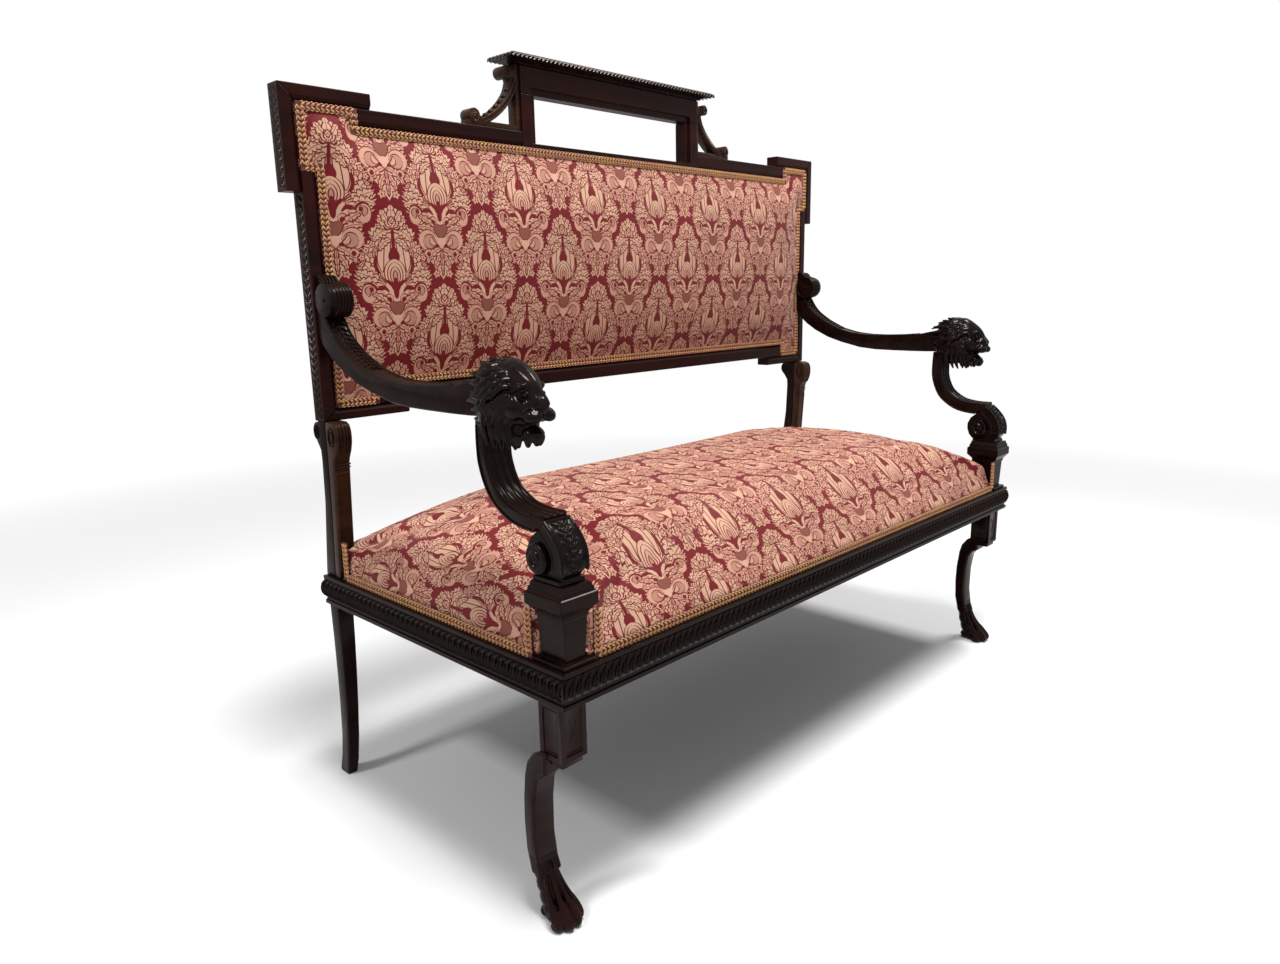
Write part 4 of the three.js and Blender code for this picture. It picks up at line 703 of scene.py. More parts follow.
def smoothVertices(piece, held, rounds):
    markVertices(piece, "free", ~held)
    smoother = piece.modifiers.new("smoother", "SMOOTH")
    smoother.iterations = rounds
    smoother.vertex_group = "free"
    applyAll(piece)
    piece.vertex_groups.clear()


def voxelCopy(node, name, look):
    piece = copyOfNode(node, name)
    remesh = piece.modifiers.new("remesh", "REMESH")
    remesh.mode = "VOXEL"
    remesh.voxel_size = look["voxel"]
    applyAll(piece)
    return piece


def plump(piece, held, look):
    start = coordinatesOf(piece.data)
    markVertices(piece, "held", held)
    cloth = piece.modifiers.new("cloth", "CLOTH")
    cloth.settings.use_pressure = True
    cloth.settings.uniform_pressure_force = look["pressure"]
    cloth.settings.vertex_group_mass = "held"
    cloth.settings.effector_weights.gravity = 0
    cloth.settings.quality = 4
    cloth.collision_settings.use_collision = False
    cloth.point_cache.frame_end = look["frames"]
    for frameNumber in range(1, look["frames"] + 1):
        scene.frame_set(frameNumber)
    shown = piece.evaluated_get(bpy.context.evaluated_depsgraph_get())
    shift = coordinatesOf(shown.data) - start
    length = np.linalg.norm(shift, axis=1, keepdims=True)
    piece.modifiers.remove(cloth)
    piece.vertex_groups.clear()
    placeAll(piece.data, start + shift * np.minimum(1.0, look["cap"] / np.maximum(length, 1e-9)))
    scene.frame_set(1)


def layCloth(piece, unroll):
    mesh = piece.data
    layer = mesh.uv_layers.new(name="cloth")
    corners = readAll(mesh.loops, "vertex_index", 1, np.int32)
    starts = readAll(mesh.polygons, "loop_start", 1, np.int32)
    facing = readAll(mesh.polygons, "normal")
    faceOfLoop = np.repeat(np.arange(len(mesh.polygons)), np.diff(np.append(starts, len(mesh.loops))))
    places = unroll(coordinatesOf(mesh)[corners], facing[faceOfLoop])
    layer.data.foreach_set("uv", np.ascontiguousarray(places).ravel())


def unrollSeat(spots, facing):
    look = pads["seat"]
    drop = np.maximum(0.0, look["shoulder"] - spots[:, 2])
    sideways = (np.abs(facing[:, 0]) > np.abs(facing[:, 1])) & (np.abs(facing[:, 0]) > 0.5)
    u = spots[:, 0] + np.where(sideways, np.sign(spots[:, 0]) * drop, 0.0)
    v = spots[:, 1] + np.where(sideways, 0.0, np.sign(spots[:, 1]) * drop)
    return np.stack([u + look["offset"][0], v + look["offset"][1]], axis=1)


def unrollBack(spots, _):
    look = pads["back"]
    return np.stack([spots[:, 0] + look["offset"][0], spots[:, 2] + look["offset"][1]], axis=1)


def finishPad(piece, held, unroll, node):
    smoothVertices(piece, held, 12)
    layCloth(piece, unroll)
    smoothShade(piece, 60)
    dress(piece, damaskCloth)
    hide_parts(node)


def makeSeatPad(look):
    piece = voxelCopy("seat_pad", "seatPad", look)
    spots = coordinatesOf(piece.data)
    low, high = look["chamber"]
    inChamber = np.all((spots > np.array(low)) & (spots < np.array(high)), axis=1)
    nearEnd = (spots[:, 1] < look["cornerEnds"][0]) | (spots[:, 1] > look["cornerEnds"][1])
    corner = nearEnd & (np.abs(spots[:, 0]) > look["cornerSide"]) & (spots[:, 2] < look["cornerHeight"])
    held = (spots[:, 2] < look["heldBelow"]) | inChamber | corner
    smoothVertices(piece, held, 6)
    spots = coordinatesOf(piece.data)
    spots -= readAll(piece.data.vertices, "normal") * np.where(held, 0.0, look["shrink"])[:, None]
    placeAll(piece.data, spots)
    plump(piece, held, look)
    spots = coordinatesOf(piece.data)
    height, top = spots[:, 2], look["topLimit"]
    eased = np.minimum(height, top + 0.25 * np.maximum(0, height - top))
    spots[:, 2] = np.where(held, height, eased)
    placeAll(piece.data, spots)
    finishPad(piece, held, unrollSeat, "seat_pad")


def makeBackPad(look):
    piece = voxelCopy("back_pad", "backPad", look)
    spots = coordinatesOf(piece.data)
    held = spots[:, 1] > look["heldBehind"]
    smoothVertices(piece, held, 14)
    spots = coordinatesOf(piece.data)
    spots[:, 1] += np.where(held, 0.0, look["shrink"]) * np.minimum(1.0, (look["heldBehind"] - spots[:, 1]) / 0.012)
    placeAll(piece.data, spots)
    plump(piece, held, look)
    finishPad(piece, held, unrollBack, "back_pad")


makeSeatPad(pads["seat"])
makeBackPad(pads["back"])
print("pads made")

# Carving tools: rods and balls that are joined, remeshed and smoothed, and small shapes that repeat

frontEdge = -296.5


def at(x, y, z):
    return Vector((x / 1000, (y + frontEdge) / 1000, z / 1000))


# A tapered rod through points in millimetres; radii is one number or one for each point
def rod(points, radii, sides=1):
    curve = bpy.data.curves.new("rod", "CURVE")
    curve.dimensions = "3D"
    curve.bevel_depth = 1
    curve.bevel_resolution = sides
    curve.use_fill_caps = True
    spline = curve.splines.new("NURBS")
    spline.points.add(len(points) - 1)
    spline.order_u = 3
    spline.use_endpoint_u = True
    spline.resolution_u = 4
    widths = radii if isinstance(radii, (list, tuple)) else [radii] * len(points)
    for spot, point, width in zip(spline.points, points, widths):
        spot.co = (*at(*point), 1)
        spot.radius = width / 1000
    piece = meshObject(curve, "rod")
    mesh = bpy.data.meshes.new_from_object(piece)
    bpy.data.objects.remove(piece)
    bpy.data.curves.remove(curve)
    return meshObject(mesh, "rod")


def ball(centre, radii):
    bpy.ops.mesh.primitive_uv_sphere_add(segments=20, ring_count=12, radius=1)
    piece = bpy.context.object
    size = Matrix.Diagonal((radii[0] / 1000, radii[1] / 1000, radii[2] / 1000, 1))
    piece.data.transform(Matrix.Translation(at(*centre)) @ size)
    return piece


# A place measured from the middle of a piece, as one measured from the axes
def measuredFrom(middle):
    return lambda x, y, z: tuple(Vector(middle) + Vector((x, y, z)))


def carve(pieces, name, voxel, rounds):
    piece = joinPieces(pieces, name)
    remesh = piece.modifiers.new("remesh", "REMESH")
    remesh.mode = "VOXEL"
    remesh.voxel_size = voxel / 1000
    smoother = piece.modifiers.new("smoother", "SMOOTH")
    smoother.iterations = rounds
    applyAll(piece)
    smoothShade(piece, 80)
    return piece


# Copies of one small modelled unit as one mesh, each put in place by its matrix
def repeatUnit(unit, places, name, angle=50):
    spots = coordinatesOf(unit.data)
    faces = [tuple(face.vertices) for face in unit.data.polygons]
    parts = []
    for place in places:
        turn = np.array(place.to_3x3())
        parts.append(spots @ turn.T + np.array(place.translation))
    count = len(spots)
    allFaces = [tuple(corner + i * count for corner in face) for i in range(len(places)) for face in faces]
    mesh = bpy.data.meshes.new(name)
    mesh.from_pydata(np.concatenate(parts).tolist(), [], allFaces)
    piece = meshObject(mesh, name)
    smoothShade(piece, angle)
    return piece


def dropPiece(piece):
    mesh = piece.data
    bpy.data.objects.remove(piece)
    bpy.data.meshes.remove(mesh)


# Places along a line of points, one for each pitch, with the unit's X along the line and its -Y facing out
def placesAlong(points, pitch, out):
    places = []
    for first, last in zip(points, points[1:]):
        run = last - first
        along = run.normalized()
        up = along.cross(out).normalized() * -1
        count = max(1, round(run.length / pitch))
        for i in range(count):
            spot = first + run * ((i + 0.5) / count)
            places.append(Matrix.Translation(spot) @ Matrix((along, -out, up)).transposed().to_4x4())
    return places


# Braid: a flat gimp of slanting grains between two beaded edges

braids = {
    "grainPitch": 7.4,
    "grain": {"x": 1.4, "z": 2.6, "length": 4.6, "width": 1.75, "depth": 2.0, "lean": 38},
    "bead": {"z": 5.6, "length": 2.9, "width": 1.1, "depth": 1.5},
    "gold": (0.47, 0.25, 0.09, 1),
    "rose": (0.4, 0.175, 0.105, 1),
    "ground": (0.045, 0.013, 0.009, 1),
    "shade": (0.1, 0.03, 0.02, 1),
    # middle of the strip from its edge
    "inset": 6.6,
    "backFace": 524.4,
    "backRight": [
        (538, 646), (538, 618.6), (610, 618.6), (610, 957), (633, 957), (633, 1051), (538, 1051), (538, 1026),
    ],
    # heights of a seat braid's strip and of its uprights' tops
    "seatHeights": (416, 360.3, 360.3, 416),
}


def makeBraidMaterial(name, first, second):
    material, tree, shader = newMaterial(name)
    place = objectPlace(tree)
    patch = noise(tree, place, 60.0, 2.0)
    feedAll(tree, shader, {
        "Base Color": blendColours(tree, spread(tree, patch, 0.4, 0.62), first, second),
        "Roughness": 0.62,
        "Specular IOR Level": 0.3,
        "Normal": bump(tree, noise(tree, place, 1500.0, 1.0), 0.3, 0.0003),
    })
    return material


braidCloth = makeBraidMaterial("goldBraid", braids["gold"], braids["rose"])
braidGround = makeBraidMaterial("braidGround", braids["ground"], braids["shade"])


def makeBraidUnit(look):
    grain, bead = look["grain"], look["bead"]
    grainSize = (grain["length"], grain["depth"], grain["width"])
    beadSize = (bead["length"], bead["depth"], bead["width"])
    parts = []
    for side in (-1, 1):
        for centre, size, lean in (
            ((-grain["x"], 0, side * grain["z"]), grainSize, side * grain["lean"]),
            ((0, 0.2, side * bead["z"]), beadSize, 0),
        ):
            bpy.ops.mesh.primitive_ico_sphere_add(subdivisions=1, radius=0.001)
            piece = bpy.context.object
            spin = Matrix.Rotation(math.radians(lean), 4, "Y")
            shift = Matrix.Translation(Vector(centre) / 1000)
            piece.data.transform(shift @ spin @ Matrix.Diagonal((*size, 1)))
            parts.append(piece)
    return joinPieces(parts, "braidUnit")


def makeBraid(node, name, lines, unit):
    base = copyOfNode(node, name + "Ground")
    dress(base, braidGround)
    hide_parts(node)
    places = [place for points, out in lines for place in placesAlong(points, braids["grainPitch"] / 1000, out)]
    dress(repeatUnit(unit, places, name, 80), braidCloth)


def makeBraids(look):
    unit = makeBraidUnit(look)
    forward = Vector((0, -1, 0))
    right, inset, heights = look["backRight"], look["inset"], look["seatHeights"]
    ring = right + [(-x, z) for x, z in reversed(right)]
    inner = []
    for i, (x, z) in enumerate(ring):
        before, after = ring[i - 1], ring[(i + 1) % len(ring)]
        intoX = -np.sign(z - before[1]) - np.sign(after[1] - z)
        intoZ = np.sign(x - before[0]) + np.sign(after[0] - x)
        inner.append(at(x + intoX * inset, look["backFace"], z + intoZ * inset))
    makeBraid("back_braid", "backBraid", [(inner + [inner[0]], forward)], unit)
    front = [at(x, 7.5, z) for x, z in zip((-573, -573, 573, 573), heights)]
    makeBraid("front_seat_braid", "frontSeatBraid", [(front, forward)], unit)
    for side, name in ((-1, "left"), (1, "right")):
        points = [at(side * 629.5, y, z) for y, z in zip((71, 71, 507, 507), heights)]
        makeBraid(name + "_seat_braid", name + "SeatBraid", [(points, Vector((side, 0, 0)))], unit)
    dropPiece(unit)


makeBraids(braids)
print("braids made")

# Carved rail: overlapping leaves round the torus of the front and side mouldings

railLeaf = {
    "pitch": 12.6,
    "end": 637,
    "back": 569,
    "middle": 333.5,
    "outer": [(5.0, 12.6), (-2.5, 12.0), (-6.2, 5.5), (-6.6, -4), (-3.6, -11), (1.5, -13.0)],
    "outerWidths": [0.9, 2.2, 2.9, 2.9, 2.2, 0.8],
    "inner": [(3.0, 6.6), (0.6, 3.6), (0.4, -3.6), (2.6, -8.0)],
    "innerWidths": [0.8, 1.9, 1.9, 0.7],
    "torusHeight": 14.5,
    "torusOut": 7.0,
    "torusBack": 2.2,
    "slant": 0.16,
}


def makeRailUnit(look, slant):
    def lift(x, z):
        out = look["torusOut"] * math.sqrt(max(0.0, 1 - (z / look["torusHeight"]) ** 2)) - look["torusBack"]
        return (x + slant * z, -frontEdge - out + 0.5, z)

    parts = [
        rod([lift(x, z) for x, z in look["outer"]], look["outerWidths"], 0),
        rod([lift(x, z) for x, z in look["inner"]], look["innerWidths"], 0),
    ]
    return joinPieces(parts, "railUnit")


def makeRailCarving(look):
    end, back, height = look["end"], look["back"], look["middle"]
    for name, points, out, slant in (
        ("frontRailLeaves", [at(-end, 0, height), at(end, 0, height)], Vector((0, -1, 0)), look["slant"]),
        ("leftRailLeaves", [at(-end, back, height), at(-end, 0, height)], Vector((-1, 0, 0)), 0.0),
        ("rightRailLeaves", [at(end, 0, height), at(end, back, height)], Vector((1, 0, 0)), 0.0),
    ):
        unit = makeRailUnit(look, slant)
        piece = repeatUnit(unit, placesAlong(points, look["pitch"] / 1000, out), name)
        dress(piece, wood["blackPolishX" if "front" in name else "blackPolishY"])
        dropPiece(unit)


makeRailCarving(railLeaf)
print("rails carved")

# Lion heads: face and mane built up from balls and rods round the head's middle, then carved into one

lion = {
    "middle": (-606, 104, 664),
    "voxels": (1.3, 1.0),
    "smooth": (9, 2),
    # centre and half sizes
    "masses": [
        ((0, 1, 11), (27, 30, 37)),
        ((0, 22, 3), (31, 33, 39)),
        ((0, 10, -22), (25, 27, 27)),
        ((0, -18, -12), (23, 24, 22)),
        ((0, 44, 2), (16, 26, 23)),
        ((0, -49.5, -8), (8.6, 6.4, 6.4)),
        ((0, -32, -38), (14, 15, 9.5)),
        ((0, -12, -36), (18, 18, 14)),
    ],
    # mirrored: centre and half sizes
    "pairs": [
        ((9.5, -43, -17), (12, 14, 10.5)),
        ((17, -20, -6), (12, 19, 17)),
    ],
    "bridge": ([(0, -6, 20), (0, -22, 14), (0, -36, 2), (0, -46, -9)], [25, 21, 16.5, 12]),
    "brow": ([(5, -26, 25), (6.4, -37, 16), (6.6, -47, 4), (6, -53, -5)], [4.4, 4.8, 4.6, 3.8]),
    # hollows, mirrored: centre, reach and depth
    "hollows": [
        ((15, -38, 8), 9.5, 5.6), ((0, -49, 8), 5.0, 1.8), ((0, -47, -29), 7.5, 4.0),
        ((11, -45, -29.5), 7.0, 4.0), ((20, -34, -28), 6.5, 3.5), ((14, -54, -9), 3.4, 1.6),
    ],
    # mirrored rods over the face: points and radii
    "lines": [
        ([(6, -35, 19), (12.5, -35.5, 19), (19, -30, 16), (22.5, -22, 11)], [2.2, 3.2, 3.2, 2.2]),
        ([(7, -38, 8), (12, -37.5, 11.2), (16.5, -31.5, 7.8)], [0.9, 1.6, 0.9]),
        ([(7, -38, 6), (12.5, -37.5, 4.2), (16.5, -31.5, 6.2)], [0.9, 1.5, 0.9]),
        ([(2.5, -41, -41), (3, -41, -47), (2, -39, -52)], [6.4, 5.6, 2.6]),
        ([(8.5, -33, -41), (9.5, -33, -48), (8, -31, -53.5)], [6.4, 5.8, 2.6]),
        ([(14, -22, -40), (15, -21, -48), (13, -20, -55)], [6.6, 5.8, 2.6]),
    ],
    "eye": ((12.6, -36.2, 7.4), (4.2, 3.4, 3.6)),
    # mane: rows of locks round the face, each flowing back and down
    "mane": [
        {"count": 12, "start": -20, "run": 34, "inner": (25, 34), "outer": (34, 45.5), "thick": 4.4},
        {"count": 13, "start": -2, "run": 34, "inner": (31.5, 41.5), "outer": (36.5, 48), "thick": 4.8},
        {"count": 13, "start": 16, "run": 36, "inner": (34.5, 44.5), "outer": (27, 36), "thick": 4.8},
    ],
    "wave": 9,
    "droop": 30,
    # locks hanging beside the jaw: start, middle, end, tip
    "beard": [
        [(21, -14, -22), (20, -13, -38), (16, -16, -52), (18, -20, -57)],
        [(25, -8, -16), (25, -7, -34), (20, -9, -50), (21, -14, -57)],
        [(28, -1, -18), (28, 1, -36), (23, 0, -52), (25, -5, -58)],
        [(31, 8, -16), (31, 10, -34), (26, 9, -50), (29, 4, -57)],
        [(33, 17, -14), (33, 20, -32), (28, 19, -47), (31, 15, -54)],
    ],
    "beardWidths": [4.2, 4.6, 3.6, 1.4],
    # locks that end on the arm: height at the head and at the arm
    "tail": [(-22, -15), (-9, -5), (4, 6), (17, 16)],
    "tailLine": [(28, 26), (21, 42), (16.5, 54), (14.6, 68)],
    "topLocks": (-11, 0, 11),
    # along a top lock: share of its place across, how far back, height
    "topLine": [(1.4, 24, 41), (1.2, 42, 34), (1, 54, 27), (0.8, 68, 23.5)],
}


# Push the points near a spot inwards, most at the spot itself
def press(piece, centre, reach, depth):
    spots = coordinatesOf(piece.data)
    far = np.linalg.norm(spots - np.array(centre), axis=1)
    push = depth / 1000 * np.exp(-((far / (reach / 1000)) ** 2))
    placeAll(piece.data, spots - readAll(piece.data.vertices, "normal") * push[:, None])


def makeLionHead(look):
    put = measuredFrom(look["middle"])

    def lock(side, row, locks, i):
        share = (i + 0.5 * (row % 2)) / (locks["count"] - 0.5)
        luck = (i * 0.618 + row * 0.37) % 1
        angle = math.radians(88 - 168 * share + 5 * (luck - 0.5))
        points, widths = [], []
        for step in range(6):
            t = step / 5
            sway = look["wave"] * (0.4 + luck) * math.sin(math.tau * (0.8 * t + 0.35 * luck)) * math.sin(math.pi * t)
            bend = angle + math.radians(sway) - math.radians(look["droop"]) * t * max(0.0, math.cos(angle))
            swell = math.sin(t * math.pi / 2)
            wide, tall = (a + (b - a) * swell for a, b in zip(locks["inner"], locks["outer"]))
            back = locks["start"] + locks["run"] * (0.85 + 0.35 * luck) * t
            points.append(put(side * wide * math.cos(bend), back, tall * math.sin(bend)))
            full = 0.5 + 0.5 * math.sin(math.pi * (0.2 + 0.6 * t))
            widths.append(locks["thick"] * (0.85 + 0.3 * luck) * full * (1 - 0.5 * t * t))
        return rod(points, widths)

    parts = [ball(put(*centre), size) for centre, size in look["masses"]]
    parts += [ball(put(side * x, y, z), size) for side in (-1, 1) for (x, y, z), size in look["pairs"]]
    points, widths = look["bridge"]
    parts.append(rod([put(*point) for point in points], widths, 4))
    points, widths = look["brow"]
    parts += [rod([put(side * x, y, z) for x, y, z in points], widths, 3) for side in (-1, 1)]
    face = carve(parts, "lionFace", look["voxels"][0], look["smooth"][0])
    for (x, y, z), reach, depth in look["hollows"]:
        for side in (-1, 1) if x else (1,):
            press(face, at(*put(side * x, y, z)), reach, depth)
    parts = [face]
    for side in (-1, 1):
        (x, y, z), size = look["eye"]
        parts.append(ball(put(side * x, y, z), size))
        parts += [rod([put(side * x, y, z) for x, y, z in points], widths) for points, widths in look["lines"]]
        parts += [rod([put(side * x, y, z) for x, y, z in points], look["beardWidths"]) for points in look["beard"]]
        for row, locks in enumerate(look["mane"]):
            parts += [lock(side, row, locks, i) for i in range(locks["count"])]
        for high, low in look["tail"]:
            heights = (high, (high + low) / 2 - 1, low + 1, low)
            points = [put(side * x, y, z) for (x, y), z in zip(look["tailLine"], heights)]
            parts.append(rod(points, [4.2, 4.4, 3.6, 1.2]))
    for x in look["topLocks"]:
        points = [put(x * share, y, z) for share, y, z in look["topLine"]]
        parts.append(rod(points, [4.4, 4.4, 3.4, 1.2]))
    return carve(parts, "leftLionHead", look["voxels"][1], look["smooth"][1])


leftHead = makeLionHead(lion)
finishPair(leftHead, "LionHead", "blackPolishZ", "lion_head")
print("lion heads made:", len(leftHead.data.polygons), "faces each")

# Paws: four toes with claws and tendons, carved over the foot of each front leg

paw = {
    "middle": (-619.5, 34, 0),
    "voxel": 1.0,
    "smooth": 3,
    "ankle": (0.063, 0.088),
    # across at the ground, how far forward, width share
    "toes": [(-17.5, -11.5, 1.0), (-6.4, -20, 1.04), (6.4, -20, 1.04), (17.5, -11.5, 1.0)],
    # up one toe from its tip to the tendon: share across, how far back, height, radius
    "toeLine": [
        (1.0, 2.5, 4.2, 3.4), (1.0, 3.0, 8.0, 6.8), (1.0, 9, 15, 7.4), (0.98, 15, 22, 6.6), (0.86, 22, 31, 4.2),
        (0.74, 31, 43, 3.2), (0.62, 37.5, 55, 2.8), (0.52, 41.5, 66, 2.4), (0.46, 45.5, 78, 0.9),
    ],
    "masses": [
        ((0, 8, 8), (18, 20, 8)), ((0, 18, 16), (16.5, 17, 13)), ((0, 24, 30), (16, 17, 20)),
        ((0, 31.5, 48), (16, 14, 20)), ((0, 36, 64), (16.8, 11, 18)),
    ],
    "heel": ((0, 27, 9), (16, 12, 9)),
}


def makePaw(look):
    put = measuredFrom(look["middle"])
    parts = [sliceOf("left_front_leg", "ankle", *look["ankle"])]
    parts += [ball(put(*centre), size) for centre, size in look["masses"]]
    for x, front, share in look["toes"]:
        points = [
            put(x * across, front * across - 20 * (1 - across) + back, height)
            for across, back, height, _ in look["toeLine"]
        ]
        parts.append(rod(points, [radius * share for *_, radius in look["toeLine"]]))
        parts.append(ball(put(x, front + 9, 6.0), (6.4 * share, 9, 6.0)))
    centre, size = look["heel"]
    parts.append(ball(put(*centre), size))
    return carve(parts, "leftPaw", look["voxel"], look["smooth"])


leftPaw = makePaw(paw)
finishPair(leftPaw, "Paw", "legWoodZ")
print("paws made:", len(leftPaw.data.polygons), "faces each")

# Scrolls under the arm supports: rims and husks down the front, a spiral on each boss

scroll = {
    "centre": -606,
    "front": 6.5,
    "foot": 455.6,
    "deep": 71,
    "tall": 75,
    "voxel": 1.0,
    "smooth": 2,
    "frontLine": [
        (0.014, 0.19), (0, 0.325), (0.02, 0.485), (0.092, 0.645), (0.218, 0.79), (0.33, 0.89), (0.44, 0.97),
    ],
    "rim": (19.2, 2.9),
    "boss": (0.613, 0.365),
    "bossSide": 24.0,
    "bossTurns": 1.45,
    "bossRadii": (17.6, 3.0),
    "ridge": 2.7,
    "husks": 5,
    "coreShare": 0.66,
    "shell": 17,
    "shellHalf": 21,
    "footHalf": 20,
    "footOutline": [(12, 455.8), (62, 455.8), (60, 461), (14, 461)],
    # radius and depth in metres
    "drum": (0.0185, 0.0475),
}


# Evenly spaced places along a flat line, each with its direction and the way out from it in the YZ plane
def walkLine(points, count):
    lengths = np.concatenate([[0], np.cumsum([math.dist(a, b) for a, b in zip(points, points[1:])])])
    step = lengths[-1] * 0.04

    def placeAt(run):
        return [float(np.interp(run, lengths, [point[k] for point in points])) for k in (0, 1)]

    spots = []
    for i in range(count):
        run = lengths[-1] * (i + 0.5) / count
        y, z = placeAt(run)
        before, after = placeAt(run - step), placeAt(run + step)
        along = Vector((0, after[0] - before[0], after[1] - before[1])).normalized()
        spots.append((y, z, along, Vector((0, -along.z, along.y))))
    return spots


# Places round one spot of a walked line, measured across it, along it and out from it
def layFrom(centre, y, z, along, out):
    return lambda x, run, rise: (centre + x, y + along.y * run + out.y * rise, z + along.z * run + out.z * rise)


def slab(outline, low, high, name):
    count = len(outline)
    spots = [at(x, y, z) for x in (low, high) for y, z in outline]
    faces = [tuple(range(count)), tuple(range(2 * count - 1, count - 1, -1))]
    faces += [(i, i + count, (i + 1) % count + count, (i + 1) % count) for i in range(count)]
    mesh = bpy.data.meshes.new(name)
    mesh.from_pydata(spots, [], faces)
    piece = meshObject(mesh, name)
    pick(piece)
    bpy.ops.object.mode_set(mode="EDIT")
    bpy.ops.mesh.select_all(action="SELECT")
    bpy.ops.mesh.normals_make_consistent(inside=False)
    bpy.ops.object.mode_set(mode="OBJECT")
    return piece


def makeScroll(look):
    centre = look["centre"]
    line = [(look["front"] + y * look["deep"], look["foot"] + z * look["tall"]) for y, z in look["frontLine"]]
    core = copyOfNode("left_arm_scroll", "scrollCore")
    middle = Matrix.Translation((centre / 1000, 0, 0))
    core.data.transform(middle @ Matrix.Diagonal((look["coreShare"], 1, 1, 1)) @ middle.inverted())
    walked = walkLine(line, 20)
    inner = [(y - out.y * look["shell"], z - out.z * look["shell"]) for y, z, along, out in walked]
    shellHalf, footHalf = look["shellHalf"], look["footHalf"]
    outer = [(y, z) for y, z, along, out in walked]
    shell = slab(outer + inner[::-1], centre - shellHalf, centre + shellHalf, "scrollShell")
    foot = slab(look["footOutline"], centre - footHalf, centre + footHalf, "scrollFoot")
    parts = [core, shell, foot]
    bossY, bossZ = look["front"] + look["boss"][0] * look["deep"], look["foot"] + look["boss"][1] * look["tall"]
    radius, depth = look["drum"]
    bpy.ops.mesh.primitive_cylinder_add(vertices=48, radius=radius, depth=depth)
    drum = bpy.context.object
    drum.data.transform(Matrix.Translation(at(centre, bossY, bossZ)) @ Matrix.Rotation(math.radians(90), 4, "Y"))
    parts.append(drum)
    across, width = look["rim"]
    behind = look["shell"] - 1
    first, last = look["bossRadii"]
    for side in (-1, 1):
        parts.append(rod([(centre + side * across, y + 0.4, z) for y, z in line], width))
        groove = [(centre + side * shellHalf, y - out.y * behind, z - out.z * behind) for y, z, along, out in walked]
        parts.append(rod(groove, 1.5))
        face = centre + side * look["bossSide"]
        points = []
        for i in range(34):
            t = i / 33
            angle = math.radians(75) - t * look["bossTurns"] * math.tau
            radius = first + (last - first) * t ** 0.85
            points.append((face, bossY - radius * math.cos(angle), bossZ + radius * math.sin(angle)))
        parts.append(rod(points, look["ridge"]))
        parts.append(ball((face, bossY, bossZ), (3.2, 4.0, 4.0)))
    for spot in walkLine(line, look["husks"]):
        lay = layFrom(centre, *spot)
        parts.append(rod([lay(0, -5, 0.4), lay(0, 0, 1.8), lay(0, 6, 0.4)], [0.9, 3.4, 0.9]))
        for side in (-1, 1):
            wide = [lay(side * 2, -5, 0.4), lay(side * 8, -2, 1.6), lay(side * 12, 4, 0.6)]
            narrow = [lay(side * 1.5, 2, 0.3), lay(side * 5.5, 5, 1.2), lay(side * 6.5, 9, 0.3)]
            parts += [rod(wide, [1.0, 3.1, 0.9]), rod(narrow, [0.8, 1.9, 0.8])]
    return carve(parts, "leftArmScroll", look["voxel"], look["smooth"])


leftScroll = makeScroll(scroll)
finishPair(leftScroll, "ArmScroll", "blackPolishZ", "arm_scroll")
print("scrolls made:", len(leftScroll.data.polygons), "faces each")

# Carved lines and leaves laid on the arms, supports, posts and legs of the left side, and mirrored to the right

def layLeft(parts, name, finish):
    left = joinPieces(parts, "left" + name)
    smoothShade(left, 50)
    finishPair(left, name, finish)


support = {
    "centre": -606,
    "foot": (38.8, 523.6),
    "reach": 111,
    "rise": 114.6,
    "side": 18.0,
    "path": [
        (0.16, 0), (0.36, 0.012), (0.535, 0.045), (0.71, 0.13), (0.855, 0.245),
        (0.942, 0.4), (0.993, 0.56), (1, 0.76), (0.99, 0.97),
    ],
    # how far in front of the middle, and radius
    "beads": [(9.4, 1.5), (5.0, 0.9), (-9.4, 1.5)],
    "lip": [(34, 517.5), (34, 529.6), (50, 531.2), (57, 519.5)],
    "lipHalf": 18.4,
}


def makeSupportLines(look):
    line = [(look["foot"][0] + y * look["reach"], look["foot"][1] + z * look["rise"]) for y, z in look["path"]]
    centre, half = look["centre"], look["lipHalf"]
    parts = [slab(look["lip"], centre - half, centre + half, "lip")]
    for offset, width in look["beads"]:
        for side in (-1, 1):
            points = [layFrom(centre, *spot)(side * look["side"], 0, offset) for spot in walkLine(line, 16)]
            parts.append(rod(points, width))
    layLeft(parts, "SupportLines", "darkWoodZ")


makeSupportLines(support)

arm = {
    "start": 158,
    "run": 365.7,
    "soffit": 638.5,
    "rise": 140,
    "splay": 9,
    "halfWidth": 15,
    "top": [
        (0.943, 0.86), (0.9, 0.675), (0.851, 0.56), (0.779, 0.444), (0.672, 0.32),
        (0.571, 0.257), (0.47, 0.232), (0.363, 0.226), (0.234, 0.24), (0.12, 0.268),
    ],
    "leafCount": 13,
    "leafPoints": 5,
    "roll": (498, 778.5, 22.8),
    "ribs": [-598.6, -603.6, -608.6, -613.6, -618.6],
    "ends": (-631.8, -596.8),
    "crestLeaves": (-626, -620.5, -615, -609.5, -604),
    "crestLeaf": [(500, 799), (506, 807), (514, 812.5), (520.5, 812)],
}


